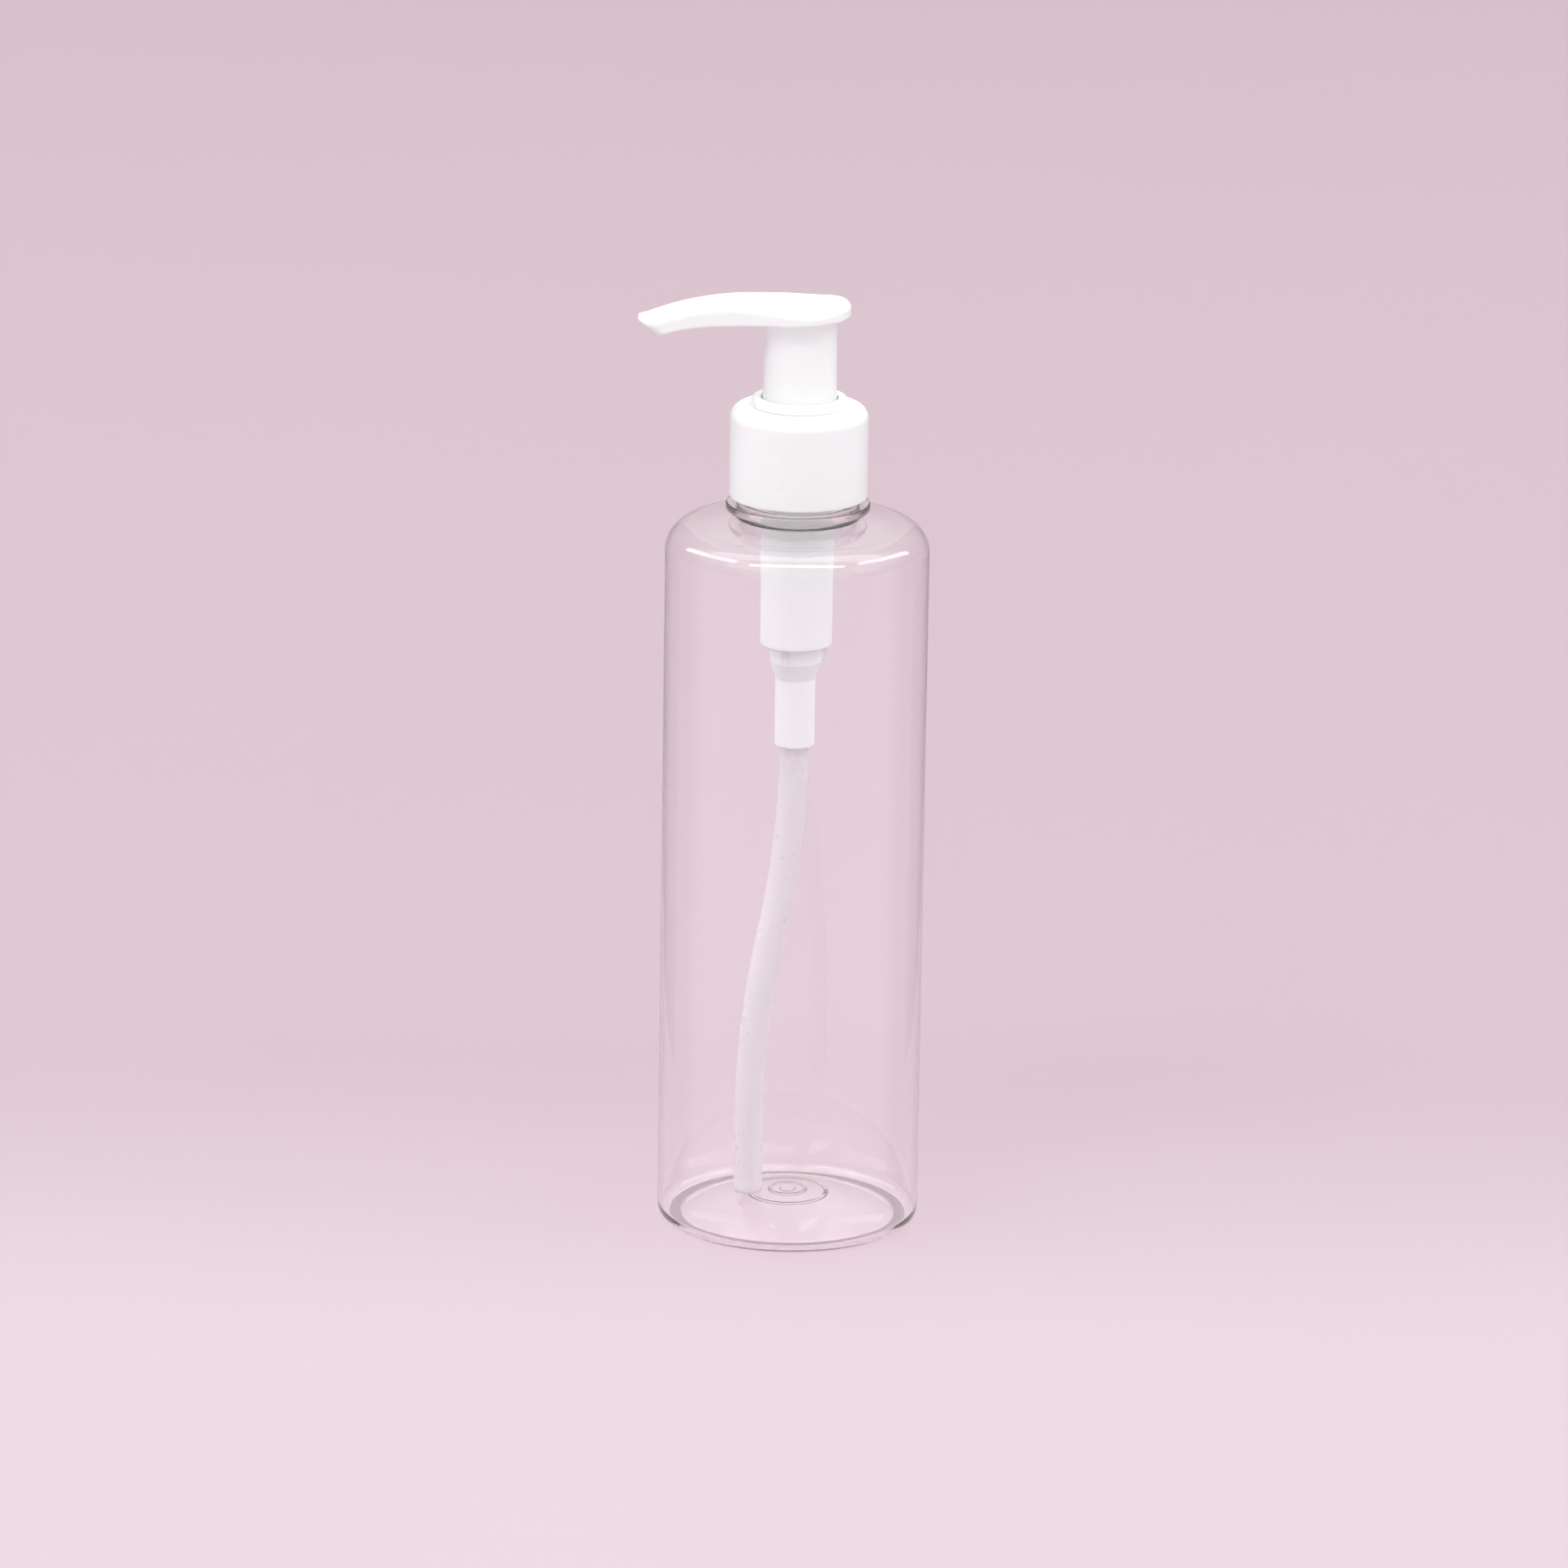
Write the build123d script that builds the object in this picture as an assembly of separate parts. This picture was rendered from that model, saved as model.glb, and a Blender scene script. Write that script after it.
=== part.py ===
"""Soap pump dispenser: clear bottle, screw closure and lotion pump.

Millimetres, +Z up. The origin is on the bottle's axis, on the plane that its foot ring stands on.
The spout points along -X.
"""

from build123d import *
import math
import os

# Bottle
bottle_od = 51.5
bottle_height = 162.0          # foot to rim of the neck
bottle_wall = 0.7
heel_radius = 3.2
foot_ring_inner_d = 39.8
foot_edge_radius = 0.8
push_up = 4.6                  # height of the domed base at its centre
base_wall = 0.8
shoulder_radius = 5.6
shoulder_rise = 2.3            # height gained from the shoulder's edge to the neck
neck_wall = 1.25
neck_clearance = 0.4           # pump housing inside the neck
neck_root_reach = 1.0          # neck's foot beyond the neck
neck_root_radius = 0.8
neck_inner_radius = 2.0
support_ring_drop = 17.5       # rim to the underside of the support ring
support_ring_thickness = 1.5
support_ring_reach = 2.2       # ring beyond the thread
support_neck_length = 1.2      # plain neck under the ring
support_ring_edge_radius = 0.4

# Thread
thread_pitch = 3.175
thread_turns = 1.5
thread_depth = 1.1
thread_crest = 1.0
thread_flank_slope = 0.52      # half of the width gained per unit of depth
thread_clearance = 0.2         # crest to the wall that it faces
thread_first_crest_drop = 6.6  # rim to the low end of the neck's thread
thread_root_overlap = 0.3
closure_thread_crest = 0.7
closure_thread_start = 180.0   # degrees after the start of the neck's thread

# Closure
closure_wall = 1.35
closure_plate = 1.3
closure_edge_radius = 2.2
closure_skirt_gap = 1.1        # support ring to the closure's lower edge
closure_lower_radius = 0.4
plate_clearance = 0.05

# Pump head
column_od = 14.4               # at its lower end
column_top_od = 14.0
column_wall = 1.3
column_engagement = 4.0        # length of column inside the collar at rest
head_press_gap = 2.8           # head to collar when fully pressed
head_web = 1.8                 # solid top of the column
pad_radius = 9.7
pad_depth = 2.3                # underside to the rim of the pad
dish_radius = 7.6
dish_depth = 0.5
dish_x = 0.5                   # centre of the dish behind the axis
hump_height = 1.4              # hump above the rim of the pad
spout_reach = 31.7             # axis to the tip of the spout
spout_tip_half_width = 4.6
pad_turn = 115.0               # degrees of the pad's round edge, from its back
flare_x = -13.0                # where the pad's outline turns into the spout's
flare_half_width = 5.6
pad_side_x = -8.73             # point between the pad's round edge and the flare
pad_side_y = 6.69
spout_mid_x = -22.2
spout_mid_half_width = 4.9
spout_end_slope = 3.75         # length over which the end face slopes back
tip_droop = 3.7                # underside down to the lowest point of the spout
head_edge_radius = 1.4
head_lower_edge_radius = 0.5
channel_width = 4.4
channel_wall = 0.95
channel_front_x = -8.3         # where the passage leaves the stem's socket
channel_front_drop = 0.7       # spout's underside there, below the pad's
hump_x = -11.7                 # highest point of the spout
upper_fore_x = -23.8           # point of the top line between the hump and the tip
upper_fore_drop = 1.8          # below the hump
upper_tip_drop = 4.3
upper_pad_x = -2.3             # where the top line reaches the pad
upper_pad_rise = 0.25          # above the rim of the pad
upper_back_rise = 0.9
lower_mid_x = -14.3            # point of the underside under the hump
lower_mid_drop = 1.15          # below the pad's underside
lower_fore_x = -22.8
lower_fore_drop = 2.15
socket_wall = 1.0
socket_length = 12.0

# Collar, chamber and valves
stroke = 13.0
well_clearance = 0.3           # column inside the well
well_wall = 0.8
well_floor = 1.3
well_floor_gap = 0.8           # pressed column to the floor
collar_rise = 1.7              # collar above the closure
collar_reach = 1.0             # collar beyond the well's wall
collar_edge_radius = 0.9
bead_drop = 4.0                # collar's snap bead below the top of the housing
bead_height = 0.3
bead_half_width = 0.5
seat_fit = 0.05                # radial gap of pieces that are fitted together
running_fit = 0.06             # radial gap of pieces that slide or turn
face_gap = 0.05                # gap of flat faces that slide or turn
stop_gap = 0.2                 # piston to the stop above it
cup_wall = 0.75
cup_floor = 1.0
flange_thickness = 1.2
flange_reach = 0.6             # flange beyond the neck's outer wall
gasket_thickness = 0.8
chamber_bore = 12.4
chamber_wall = 0.9
chamber_draft = 0.1
chamber_floor = 0.8
stem_od = 7.6
stem_bore = 3.2
outlet_ball_d = 4.0
inlet_ball_d = 4.8
ball_side_gap = 0.75
ball_seat_gap = 0.03
ball_lift = 1.5
rod_bore = 2.8
rod_shoulder = 0.3             # rod beyond its spigot
rod_seat_flare = 0.5           # seat opens past the outlet ball
stem_slot_width = 1.2          # lets soap past the lifted ball
stem_slot_length = 1.5
rod_spigot_length = 5.0
rod_flange_thickness = 1.2
rod_flange_reach = 0.4         # flange beyond the spring
piston_height = 6.0
piston_lip = 0.7
piston_waist_cut = 1.0
piston_groove = 0.35           # width of the cut behind each lip
spring_wire = 0.8
spring_turns = 7
spring_spare = 1.9             # spring left to close when fully pressed
spring_side_gap = 0.3
cage_thickness = 1.2
cage_bar = 1.0
cage_bars = 3
cage_ring_width = 1.2
locator_height = 2.0
spring_bore_gap = 0.9          # spring to the wall of the chamber
spring_end_gap = 0.05
vent_d = 1.0
inlet_wall = 1.05
inlet_cone = 3.6               # cone between the ball house and the inlet neck
inlet_length = 13.6
ball_house_wall = 1.9
ball_house_length = 3.2        # below the chamber's outer floor
inlet_bore = 3.0
tube_stop = 0.2
tube_seat_gap = 2.0            # top of the tube below the ball's seat
chamber_edge_radius = 0.5
inlet_edge_radius = 0.3
lug_thickness = 1.5
lug_reach = 1.0
lug_count = 3
lug_heading = 8.0              # degrees from +X

# Dip tube
tube_od = 5.6
tube_bore = 4.2
tube_lean = 8.4
tube_heading = 201.0           # degrees from +X, towards the spout's side
tube_lower_straight = 21.0
tube_end_gap = 0.3

# Radii worked out from the sizes above
column_r = column_od / 2
well_bore_r = column_r + well_clearance
well_r = well_bore_r + well_wall
cup_bore_r = well_r + seat_fit
cup_r = cup_bore_r + cup_wall
neck_bore_r = cup_r + neck_clearance
neck_r = neck_bore_r + neck_wall
thread_r = neck_r + thread_depth
support_ring_r = thread_r + support_ring_reach
closure_bore_r = thread_r + thread_clearance
closure_r = closure_bore_r + closure_wall
collar_r = well_r + collar_reach
bottle_r = bottle_od / 2
chamber_bore_r = chamber_bore / 2
chamber_r = chamber_bore_r + chamber_wall
stem_r = stem_od / 2
outlet_ball_r = outlet_ball_d / 2
inlet_ball_r = inlet_ball_d / 2
stem_ball_bore_r = outlet_ball_r + ball_side_gap
rod_spigot_r = stem_ball_bore_r - seat_fit
rod_r = rod_spigot_r + rod_shoulder
ball_house_bore_r = inlet_ball_r + ball_side_gap
ball_house_r = ball_house_bore_r + ball_house_wall
tube_r = tube_od / 2
inlet_r = tube_r + seat_fit + inlet_wall
spring_r = chamber_bore_r - spring_bore_gap - spring_wire / 2
locator_r = spring_r - spring_wire / 2 - spring_side_gap
rod_flange_r = spring_r + spring_wire / 2 + rod_flange_reach

# Heights worked out from the sizes above
rim_z = bottle_height
flange_low_z = rim_z + gasket_thickness
flange_top_z = flange_low_z + flange_thickness
plate_low_z = flange_top_z + plate_clearance
closure_top_z = plate_low_z + closure_plate
collar_low_z = closure_top_z + plate_clearance
collar_top_z = collar_low_z + collar_rise
support_ring_z = rim_z - support_ring_drop
closure_low_z = support_ring_z + support_ring_thickness + closure_skirt_gap
column_low_z = collar_top_z - column_engagement
well_floor_top_z = column_low_z - stroke - well_floor_gap
well_floor_low_z = well_floor_top_z - well_floor
head_z = collar_top_z + stroke + head_press_gap
pad_rim_z = head_z + pad_depth
web_z = head_z - head_web
cup_floor_z = well_floor_low_z - face_gap
piston_top_z = well_floor_low_z - stop_gap
piston_low_z = piston_top_z - piston_height
stem_low_z = piston_top_z + face_gap
rod_flange_top_z = piston_low_z - face_gap
rod_flange_low_z = rod_flange_top_z - rod_flange_thickness
spring_pressed = (spring_turns + 1) * spring_wire + spring_spare
spring_low_z = rod_flange_low_z - stroke - spring_pressed
chamber_floor_z = spring_low_z - cage_thickness
chamber_low_z = chamber_floor_z - chamber_floor
ball_house_low_z = chamber_low_z - ball_house_length
inlet_ball_z = chamber_floor_z - ball_lift - stop_gap - inlet_ball_r
inlet_apex_z = inlet_ball_z - (inlet_ball_r + ball_seat_gap) * math.sqrt(2)
inlet_seat_z = inlet_apex_z + inlet_bore / 2
tube_top_z = inlet_seat_z - tube_seat_gap
inlet_top_z = ball_house_low_z - inlet_cone
inlet_low_z = inlet_top_z - inlet_length
rod_top_z = stem_low_z + rod_spigot_length
outlet_apex_z = rod_top_z - outlet_ball_r
outlet_ball_z = outlet_apex_z + (outlet_ball_r + ball_seat_gap) * math.sqrt(2)
outlet_stop_z = outlet_ball_z + outlet_ball_r + ball_lift + stop_gap
socket_low_z = head_z - socket_length
stem_top_z = web_z - seat_fit
tube_end_z = push_up + base_wall + tube_end_gap
bead_z = flange_top_z - bead_drop


def tube(outer_r, inner_r, low_z, high_z):
    """Plain ring about the axis."""
    height = high_z - low_z
    wall = (Align.CENTER, Align.CENTER, Align.MIN)
    ring = Cylinder(outer_r, height, align=wall) - Cylinder(inner_r, height, align=wall)
    return Pos(0, 0, low_z) * ring


def rod(radius, low_z, high_z):
    """Plain cylinder about the axis."""
    bar = Cylinder(radius, high_z - low_z, align=(Align.CENTER, Align.CENTER, Align.MIN))
    return Pos(0, 0, low_z) * bar


def turned(outline, rounds=()):
    """Solid of revolution from an outline in radius and height; rounds are (radius, height, fillet)."""
    section = make_face(outline)
    for r, z, size in rounds:
        corner = section.vertices().sort_by_distance((r, z))[0]
        section = fillet(corner, size)
    return revolve(Plane.XZ * section, Axis.Z)


def turned_polygon(points, rounds=()):
    return turned(Polyline(*points, close=True), rounds)


def dome_arc(centre_z, edge_r, edge_z):
    """Arc of a shallow dome, from its centre to its edge."""
    height = centre_z - edge_z
    dome_r = (edge_r ** 2 + height ** 2) / (2 * height)
    half_r = edge_r / 2
    half_z = centre_z - dome_r + math.sqrt(dome_r ** 2 - half_r ** 2)
    return ThreePointArc((0, centre_z), (half_r, half_z), (edge_r, edge_z))


def thread_ridge(wall_r, towards_axis, low_crest_z, from_angle):
    """Helical ridge that stands off a wall, outwards or towards the axis."""
    side = -1 if towards_axis else 1
    root_r = wall_r - side * thread_root_overlap
    crest_r = wall_r + side * (thread_depth - (thread_clearance if towards_axis else 0))
    crest_half = (closure_thread_crest if towards_axis else thread_crest) / 2
    root_half = crest_half + thread_flank_slope * abs(crest_r - root_r)
    helix = Helix(thread_pitch, thread_pitch * thread_turns, wall_r)
    start = Plane(origin=helix @ 0, x_dir=(1, 0, 0), z_dir=helix % 0)
    profile = start * make_face(Polyline(
        (root_r - wall_r, -root_half),
        (crest_r - wall_r, -crest_half),
        (crest_r - wall_r, crest_half),
        (root_r - wall_r, root_half),
        close=True))
    ridge = sweep(profile, path=helix, is_frenet=True)
    return Pos(0, 0, low_crest_z) * Rot(0, 0, from_angle) * ridge


def make_bottle():
    root_r = neck_r + neck_root_reach
    root_z = support_ring_z - support_neck_length
    edge_z = root_z - shoulder_rise
    foot_r = foot_ring_inner_d / 2
    outer = turned(
        [dome_arc(push_up, foot_r, 0),
         Polyline((foot_r, 0), (bottle_r, 0), (bottle_r, edge_z), (root_r, root_z),
                  (root_r, support_ring_z), (support_ring_r, support_ring_z),
                  (support_ring_r, support_ring_z + support_ring_thickness),
                  (neck_r, support_ring_z + support_ring_thickness),
                  (neck_r, rim_z), (0, rim_z), (0, push_up))],
        [(foot_r, 0, foot_edge_radius),
         (bottle_r, 0, heel_radius),
         (bottle_r, edge_z, shoulder_radius),
         (root_r, root_z, neck_root_radius),
         (support_ring_r, support_ring_z, support_ring_edge_radius),
         (support_ring_r, support_ring_z + support_ring_thickness, support_ring_edge_radius)])
    inner_r = bottle_r - bottle_wall
    inner_root_z = root_z - base_wall
    inner_edge_z = inner_root_z - shoulder_rise * (inner_r - neck_bore_r) / (bottle_r - root_r)
    inner = turned(
        [dome_arc(push_up + base_wall, foot_r, base_wall),
         Polyline((foot_r, base_wall), (inner_r, base_wall), (inner_r, inner_edge_z),
                  (neck_bore_r, inner_root_z), (neck_bore_r, rim_z + 1), (0, rim_z + 1),
                  (0, push_up + base_wall))],
        [(foot_r, base_wall, foot_edge_radius),
         (inner_r, base_wall, heel_radius - bottle_wall),
         (inner_r, inner_edge_z, shoulder_radius - bottle_wall),
         (neck_bore_r, inner_root_z, neck_inner_radius)])
    thread = thread_ridge(neck_r, False, rim_z - thread_first_crest_drop, 0)
    return outer - inner + thread


def make_closure():
    shell = turned_polygon(
        [(closure_bore_r, closure_low_z), (closure_r, closure_low_z), (closure_r, closure_top_z),
         (well_r + running_fit, closure_top_z), (well_r + running_fit, plate_low_z),
         (closure_bore_r, plate_low_z)],
        [(closure_r, closure_low_z, closure_lower_radius),
         (closure_r, closure_top_z, closure_edge_radius)])
    low_crest_z = rim_z - thread_first_crest_drop - thread_pitch
    return shell + thread_ridge(closure_bore_r, True, low_crest_z, closure_thread_start)


def make_lock_collar():
    """Ring on the closure, well for the column, and the floor that guides the stem."""
    return turned_polygon(
        [(stem_r + running_fit, well_floor_low_z), (well_r, well_floor_low_z),
         (well_r, bead_z - bead_half_width), (well_r + bead_height, bead_z),
         (well_r, bead_z + bead_half_width),
         (well_r, collar_low_z), (collar_r, collar_low_z), (collar_r, collar_top_z),
         (well_bore_r, collar_top_z), (well_bore_r, well_floor_top_z),
         (stem_r + running_fit, well_floor_top_z)],
        [(collar_r, collar_top_z, collar_edge_radius)])


def make_neck_gasket():
    return tube(neck_r, neck_bore_r, rim_z, flange_low_z)


def make_housing():
    """Cup in the neck, pump chamber, ball house and inlet neck, in one moulding."""
    low_r = chamber_r - chamber_draft
    cup_low_z = cup_floor_z - cup_floor
    body = turned_polygon([
        (0, inlet_low_z), (inlet_r, inlet_low_z), (inlet_r, inlet_top_z),
        (ball_house_r, ball_house_low_z), (ball_house_r, chamber_low_z), (low_r, chamber_low_z),
        (chamber_r, cup_low_z - (cup_r - chamber_r)), (cup_r, cup_low_z), (cup_r, flange_low_z),
        (neck_r + flange_reach, flange_low_z), (neck_r + flange_reach, flange_top_z),
        (0, flange_top_z)],
        [(low_r, chamber_low_z, chamber_edge_radius), (inlet_r, inlet_low_z, inlet_edge_radius)])
    hollow = turned_polygon([
        (0, inlet_low_z - 1), (tube_r + seat_fit, inlet_low_z - 1),
        (tube_r + seat_fit, tube_top_z + tube_stop), (inlet_bore / 2, tube_top_z + tube_stop),
        (inlet_bore / 2, inlet_seat_z),
        (ball_house_bore_r, inlet_seat_z + ball_house_bore_r - inlet_bore / 2),
        (ball_house_bore_r, chamber_floor_z), (chamber_bore_r, chamber_floor_z),
        (chamber_bore_r, cup_floor_z), (cup_bore_r, cup_floor_z), (cup_bore_r, bead_z - bead_half_width),
        (cup_bore_r + bead_height, bead_z), (cup_bore_r, bead_z + bead_half_width),
        (cup_bore_r, flange_top_z + 1), (0, flange_top_z + 1)])
    vent_z = piston_top_z - piston_height / 2
    vent = Pos(0, chamber_r, vent_z) * Rot(90, 0, 0) * Cylinder(vent_d / 2, 2 * chamber_wall + 1)
    housing = body - hollow - vent
    lug = Pos(ball_house_r, 0, chamber_low_z) * Box(
        2 * lug_reach, lug_thickness, ball_house_length,
        align=(Align.CENTER, Align.CENTER, Align.MAX))
    for n in range(lug_count):
        housing += Rot(0, 0, lug_heading + n * 360 / lug_count) * lug
    return housing


def make_ball_cage():
    """Spoked ring on the chamber's floor, with a sleeve that centres the spring."""
    ring_r = chamber_bore_r - seat_fit
    inner_r = locator_r - cage_ring_width
    cage = tube(ring_r, inner_r, chamber_floor_z, spring_low_z)
    cage += tube(locator_r, inner_r, spring_low_z, spring_low_z + locator_height)
    bar = Pos(0, 0, chamber_floor_z) * Box(
        locator_r + inner_r, cage_bar, cage_thickness,
        align=(Align.CENTER, Align.CENTER, Align.MIN))
    for n in range(cage_bars):
        cage += Rot(0, 0, n * 180 / cage_bars) * bar
    return cage


def make_inlet_ball():
    return Pos(0, 0, inlet_ball_z) * Sphere(inlet_ball_r)


def make_return_spring():
    length = rod_flange_low_z - spring_low_z - spring_wire - 2 * spring_end_gap
    helix = Helix(length / spring_turns, length, spring_r)
    start = Plane(origin=helix @ 0, z_dir=helix % 0)
    wire = sweep(start * Circle(spring_wire / 2), path=helix, is_frenet=True)
    return Pos(0, 0, spring_low_z + spring_wire / 2 + spring_end_gap) * wire


def make_piston():
    """Soft seal with a lip at each end."""
    lip_r = chamber_bore_r - running_fit
    waist_r = lip_r - piston_waist_cut
    bore_r = rod_r + running_fit
    web = piston_height / 2
    mid_z = piston_low_z + web
    return turned_polygon([
        (bore_r, piston_low_z), (lip_r - piston_lip - piston_groove, piston_low_z + web / 2),
        (lip_r - piston_lip, piston_low_z), (lip_r, piston_low_z),
        (lip_r, piston_low_z + piston_lip), (waist_r, mid_z - web / 3), (waist_r, mid_z + web / 3),
        (lip_r, piston_top_z - piston_lip), (lip_r, piston_top_z),
        (lip_r - piston_lip, piston_top_z),
        (lip_r - piston_lip - piston_groove, piston_top_z - web / 2),
        (bore_r, piston_top_z)])


def make_valve_rod():
    """Hollow rod: outlet seat at the top, piston seat, and flange over the spring."""
    body = turned_polygon([
        (0, rod_flange_low_z - locator_height), (locator_r, rod_flange_low_z - locator_height),
        (locator_r, rod_flange_low_z), (rod_flange_r, rod_flange_low_z),
        (rod_flange_r, rod_flange_top_z), (rod_r, rod_flange_top_z),
        (rod_r, piston_top_z), (rod_spigot_r, piston_top_z), (rod_spigot_r, rod_top_z),
        (0, rod_top_z)])
    bore = turned_polygon([
        (0, rod_flange_low_z - locator_height - 1),
        (rod_bore / 2, rod_flange_low_z - locator_height - 1),
        (rod_bore / 2, outlet_apex_z + rod_bore / 2),
        (outlet_ball_r + rod_seat_flare, rod_top_z + rod_seat_flare),
        (0, rod_top_z + rod_seat_flare)])
    return body - bore


def make_outlet_ball():
    return Pos(0, 0, outlet_ball_z) * Sphere(outlet_ball_r)


def make_stem():
    """Hollow stem; its lower end holds the valve rod and the outlet ball."""
    stem = tube(stem_r, stem_bore / 2, stem_low_z, stem_top_z)
    stem -= rod(stem_ball_bore_r, stem_low_z, outlet_stop_z)
    slot = Pos(0, 0, outlet_stop_z) * Box(
        2 * stem_ball_bore_r, stem_slot_width, stem_slot_length,
        align=(Align.CENTER, Align.CENTER, Align.MIN))
    return stem - slot


def head_plan():
    """Outline of the head from above: round pad at the back, spout narrowing to the front."""
    tip = (-spout_reach, spout_tip_half_width)
    join = PolarLocations(pad_radius, 1, start_angle=pad_turn).locations[0].position
    side = Spline(
        (join.X, join.Y), (pad_side_x, pad_side_y), (flare_x, flare_half_width),
        (spout_mid_x, spout_mid_half_width), tip,
        tangents=[(-join.Y, join.X), (-1, -0.02)])
    back = ThreePointArc((join.X, -join.Y), (pad_radius, 0), (join.X, join.Y))
    return make_face([back, side, Line(tip, (tip[0], -tip[1])), mirror(side, Plane.XZ)])


def head_upper_line():
    """Side view of the head's top, from the tip over the hump to the back of the pad."""
    hump_z = pad_rim_z + hump_height
    return Spline(
        (-spout_reach, hump_z - upper_tip_drop), (upper_fore_x, hump_z - upper_fore_drop),
        (hump_x, hump_z), (upper_pad_x, pad_rim_z + upper_pad_rise),
        (-upper_pad_x, pad_rim_z), (pad_radius, pad_rim_z + upper_back_rise))


def head_lower_line():
    """Side view of the head's underside, from the back of the pad to the spout's lowest point."""
    return Spline(
        (pad_radius, head_z + upper_pad_rise), (0, head_z), (lower_mid_x, head_z - lower_mid_drop),
        (lower_fore_x, head_z - lower_fore_drop),
        (-spout_reach + spout_end_slope, head_z - tip_droop))


def head_channel():
    """Passage from the stem to the end of the spout."""
    hump_z = pad_rim_z + hump_height
    low_x = -spout_reach + spout_end_slope
    outline = make_face(Polyline(
        (0, web_z), (upper_pad_x, web_z),
        (channel_front_x, head_z - channel_front_drop + channel_wall),
        (lower_mid_x, head_z - lower_mid_drop + channel_wall),
        (lower_fore_x, head_z - lower_fore_drop + channel_wall),
        (low_x, head_z - tip_droop + channel_wall),
        (low_x - spout_end_slope, head_z - tip_droop - channel_wall),
        (-spout_reach - channel_wall, hump_z - upper_tip_drop - channel_wall),
        (-spout_reach, hump_z - upper_tip_drop - channel_wall),
        (upper_fore_x, hump_z - upper_fore_drop - channel_wall), (hump_x, hump_z - channel_wall),
        (upper_pad_x, pad_rim_z - channel_wall), (0, pad_rim_z - dish_depth - channel_wall),
        close=True))
    return extrude(Plane.XZ * outline, channel_width / 2, both=True)


def head_shell():
    """Solid pad and spout, rounded along the upper and lower edges, with the dished thumb rest."""
    upper = head_upper_line()
    lower = head_lower_line()
    side = make_face([upper, lower, Line(upper @ 1, lower @ 0), Line(lower @ 1, upper @ 0)])
    block = extrude(Plane.XZ * side, 2 * pad_radius, both=True)
    plan = Pos(0, 0, head_z - 2 * tip_droop) * extrude(head_plan(), 6 * tip_droop)
    shell = block & plan
    past_tip = -spout_reach + spout_end_slope + 0.5
    for radius, from_top in ((head_edge_radius, -1), (head_lower_edge_radius, 0)):
        face = shell.faces().sort_by(lambda side: side.normal_at(side.center()).Z)[from_top]
        edges = face.edges().filter_by(lambda edge: edge.center().X > past_tip)
        shell = fillet(edges, radius)
    ball_r = (dish_radius ** 2 + dish_depth ** 2) / (2 * dish_depth)
    return shell - Pos(dish_x, 0, pad_rim_z - dish_depth + ball_r) * Sphere(ball_r)


def make_head():
    column = turned_polygon([
        (column_r - column_wall, column_low_z), (column_r, column_low_z),
        (column_top_od / 2, head_z + pad_depth / 2), (0, head_z + pad_depth / 2),
        (0, web_z), (column_top_od / 2 - column_wall, web_z)])
    socket = tube(stem_r + socket_wall, stem_r + seat_fit, socket_low_z, web_z)
    passage = rod(stem_bore / 2, web_z - 0.5, pad_rim_z - dish_depth - channel_wall)
    return head_shell() + column + socket - passage - head_channel()


def make_dip_tube():
    """Tube that leans to one side in two equal bends."""
    height = inlet_low_z - tube_lower_straight
    turn = 2 * math.atan(tube_lean / height)
    bend_r = height / (2 * math.sin(turn))
    mid = (tube_lean / 2, inlet_low_z - height / 2)
    inset = bend_r * (1 - math.cos(turn / 2))
    drop = bend_r * math.sin(turn / 2)
    path = Line((0, tube_top_z), (0, inlet_low_z))
    path += ThreePointArc((0, inlet_low_z), (inset, inlet_low_z - drop), mid)
    path += ThreePointArc(
        mid, (tube_lean - inset, tube_lower_straight + drop), (tube_lean, tube_lower_straight))
    path += Line((tube_lean, tube_lower_straight), (tube_lean, tube_end_z))
    path = Plane.XZ * path
    start = Pos(0, 0, tube_top_z) * (Circle(tube_r) - Circle(tube_bore / 2))
    return Rot(0, 0, tube_heading) * sweep(start, path=path)


pieces = {
    "bottle": make_bottle,
    "closure": make_closure,
    "lock_collar": make_lock_collar,
    "neck_gasket": make_neck_gasket,
    "housing": make_housing,
    "ball_cage": make_ball_cage,
    "inlet_ball": make_inlet_ball,
    "return_spring": make_return_spring,
    "piston": make_piston,
    "valve_rod": make_valve_rod,
    "outlet_ball": make_outlet_ball,
    "stem": make_stem,
    "head": make_head,
    "dip_tube": make_dip_tube,
}

os.makedirs("parts", exist_ok=True)
for node, make in pieces.items():
    export_step(make(), f"parts/{node}.step")
    print(node)
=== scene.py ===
import math
import bmesh
import bpy
from mathutils import Matrix, Vector


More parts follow.
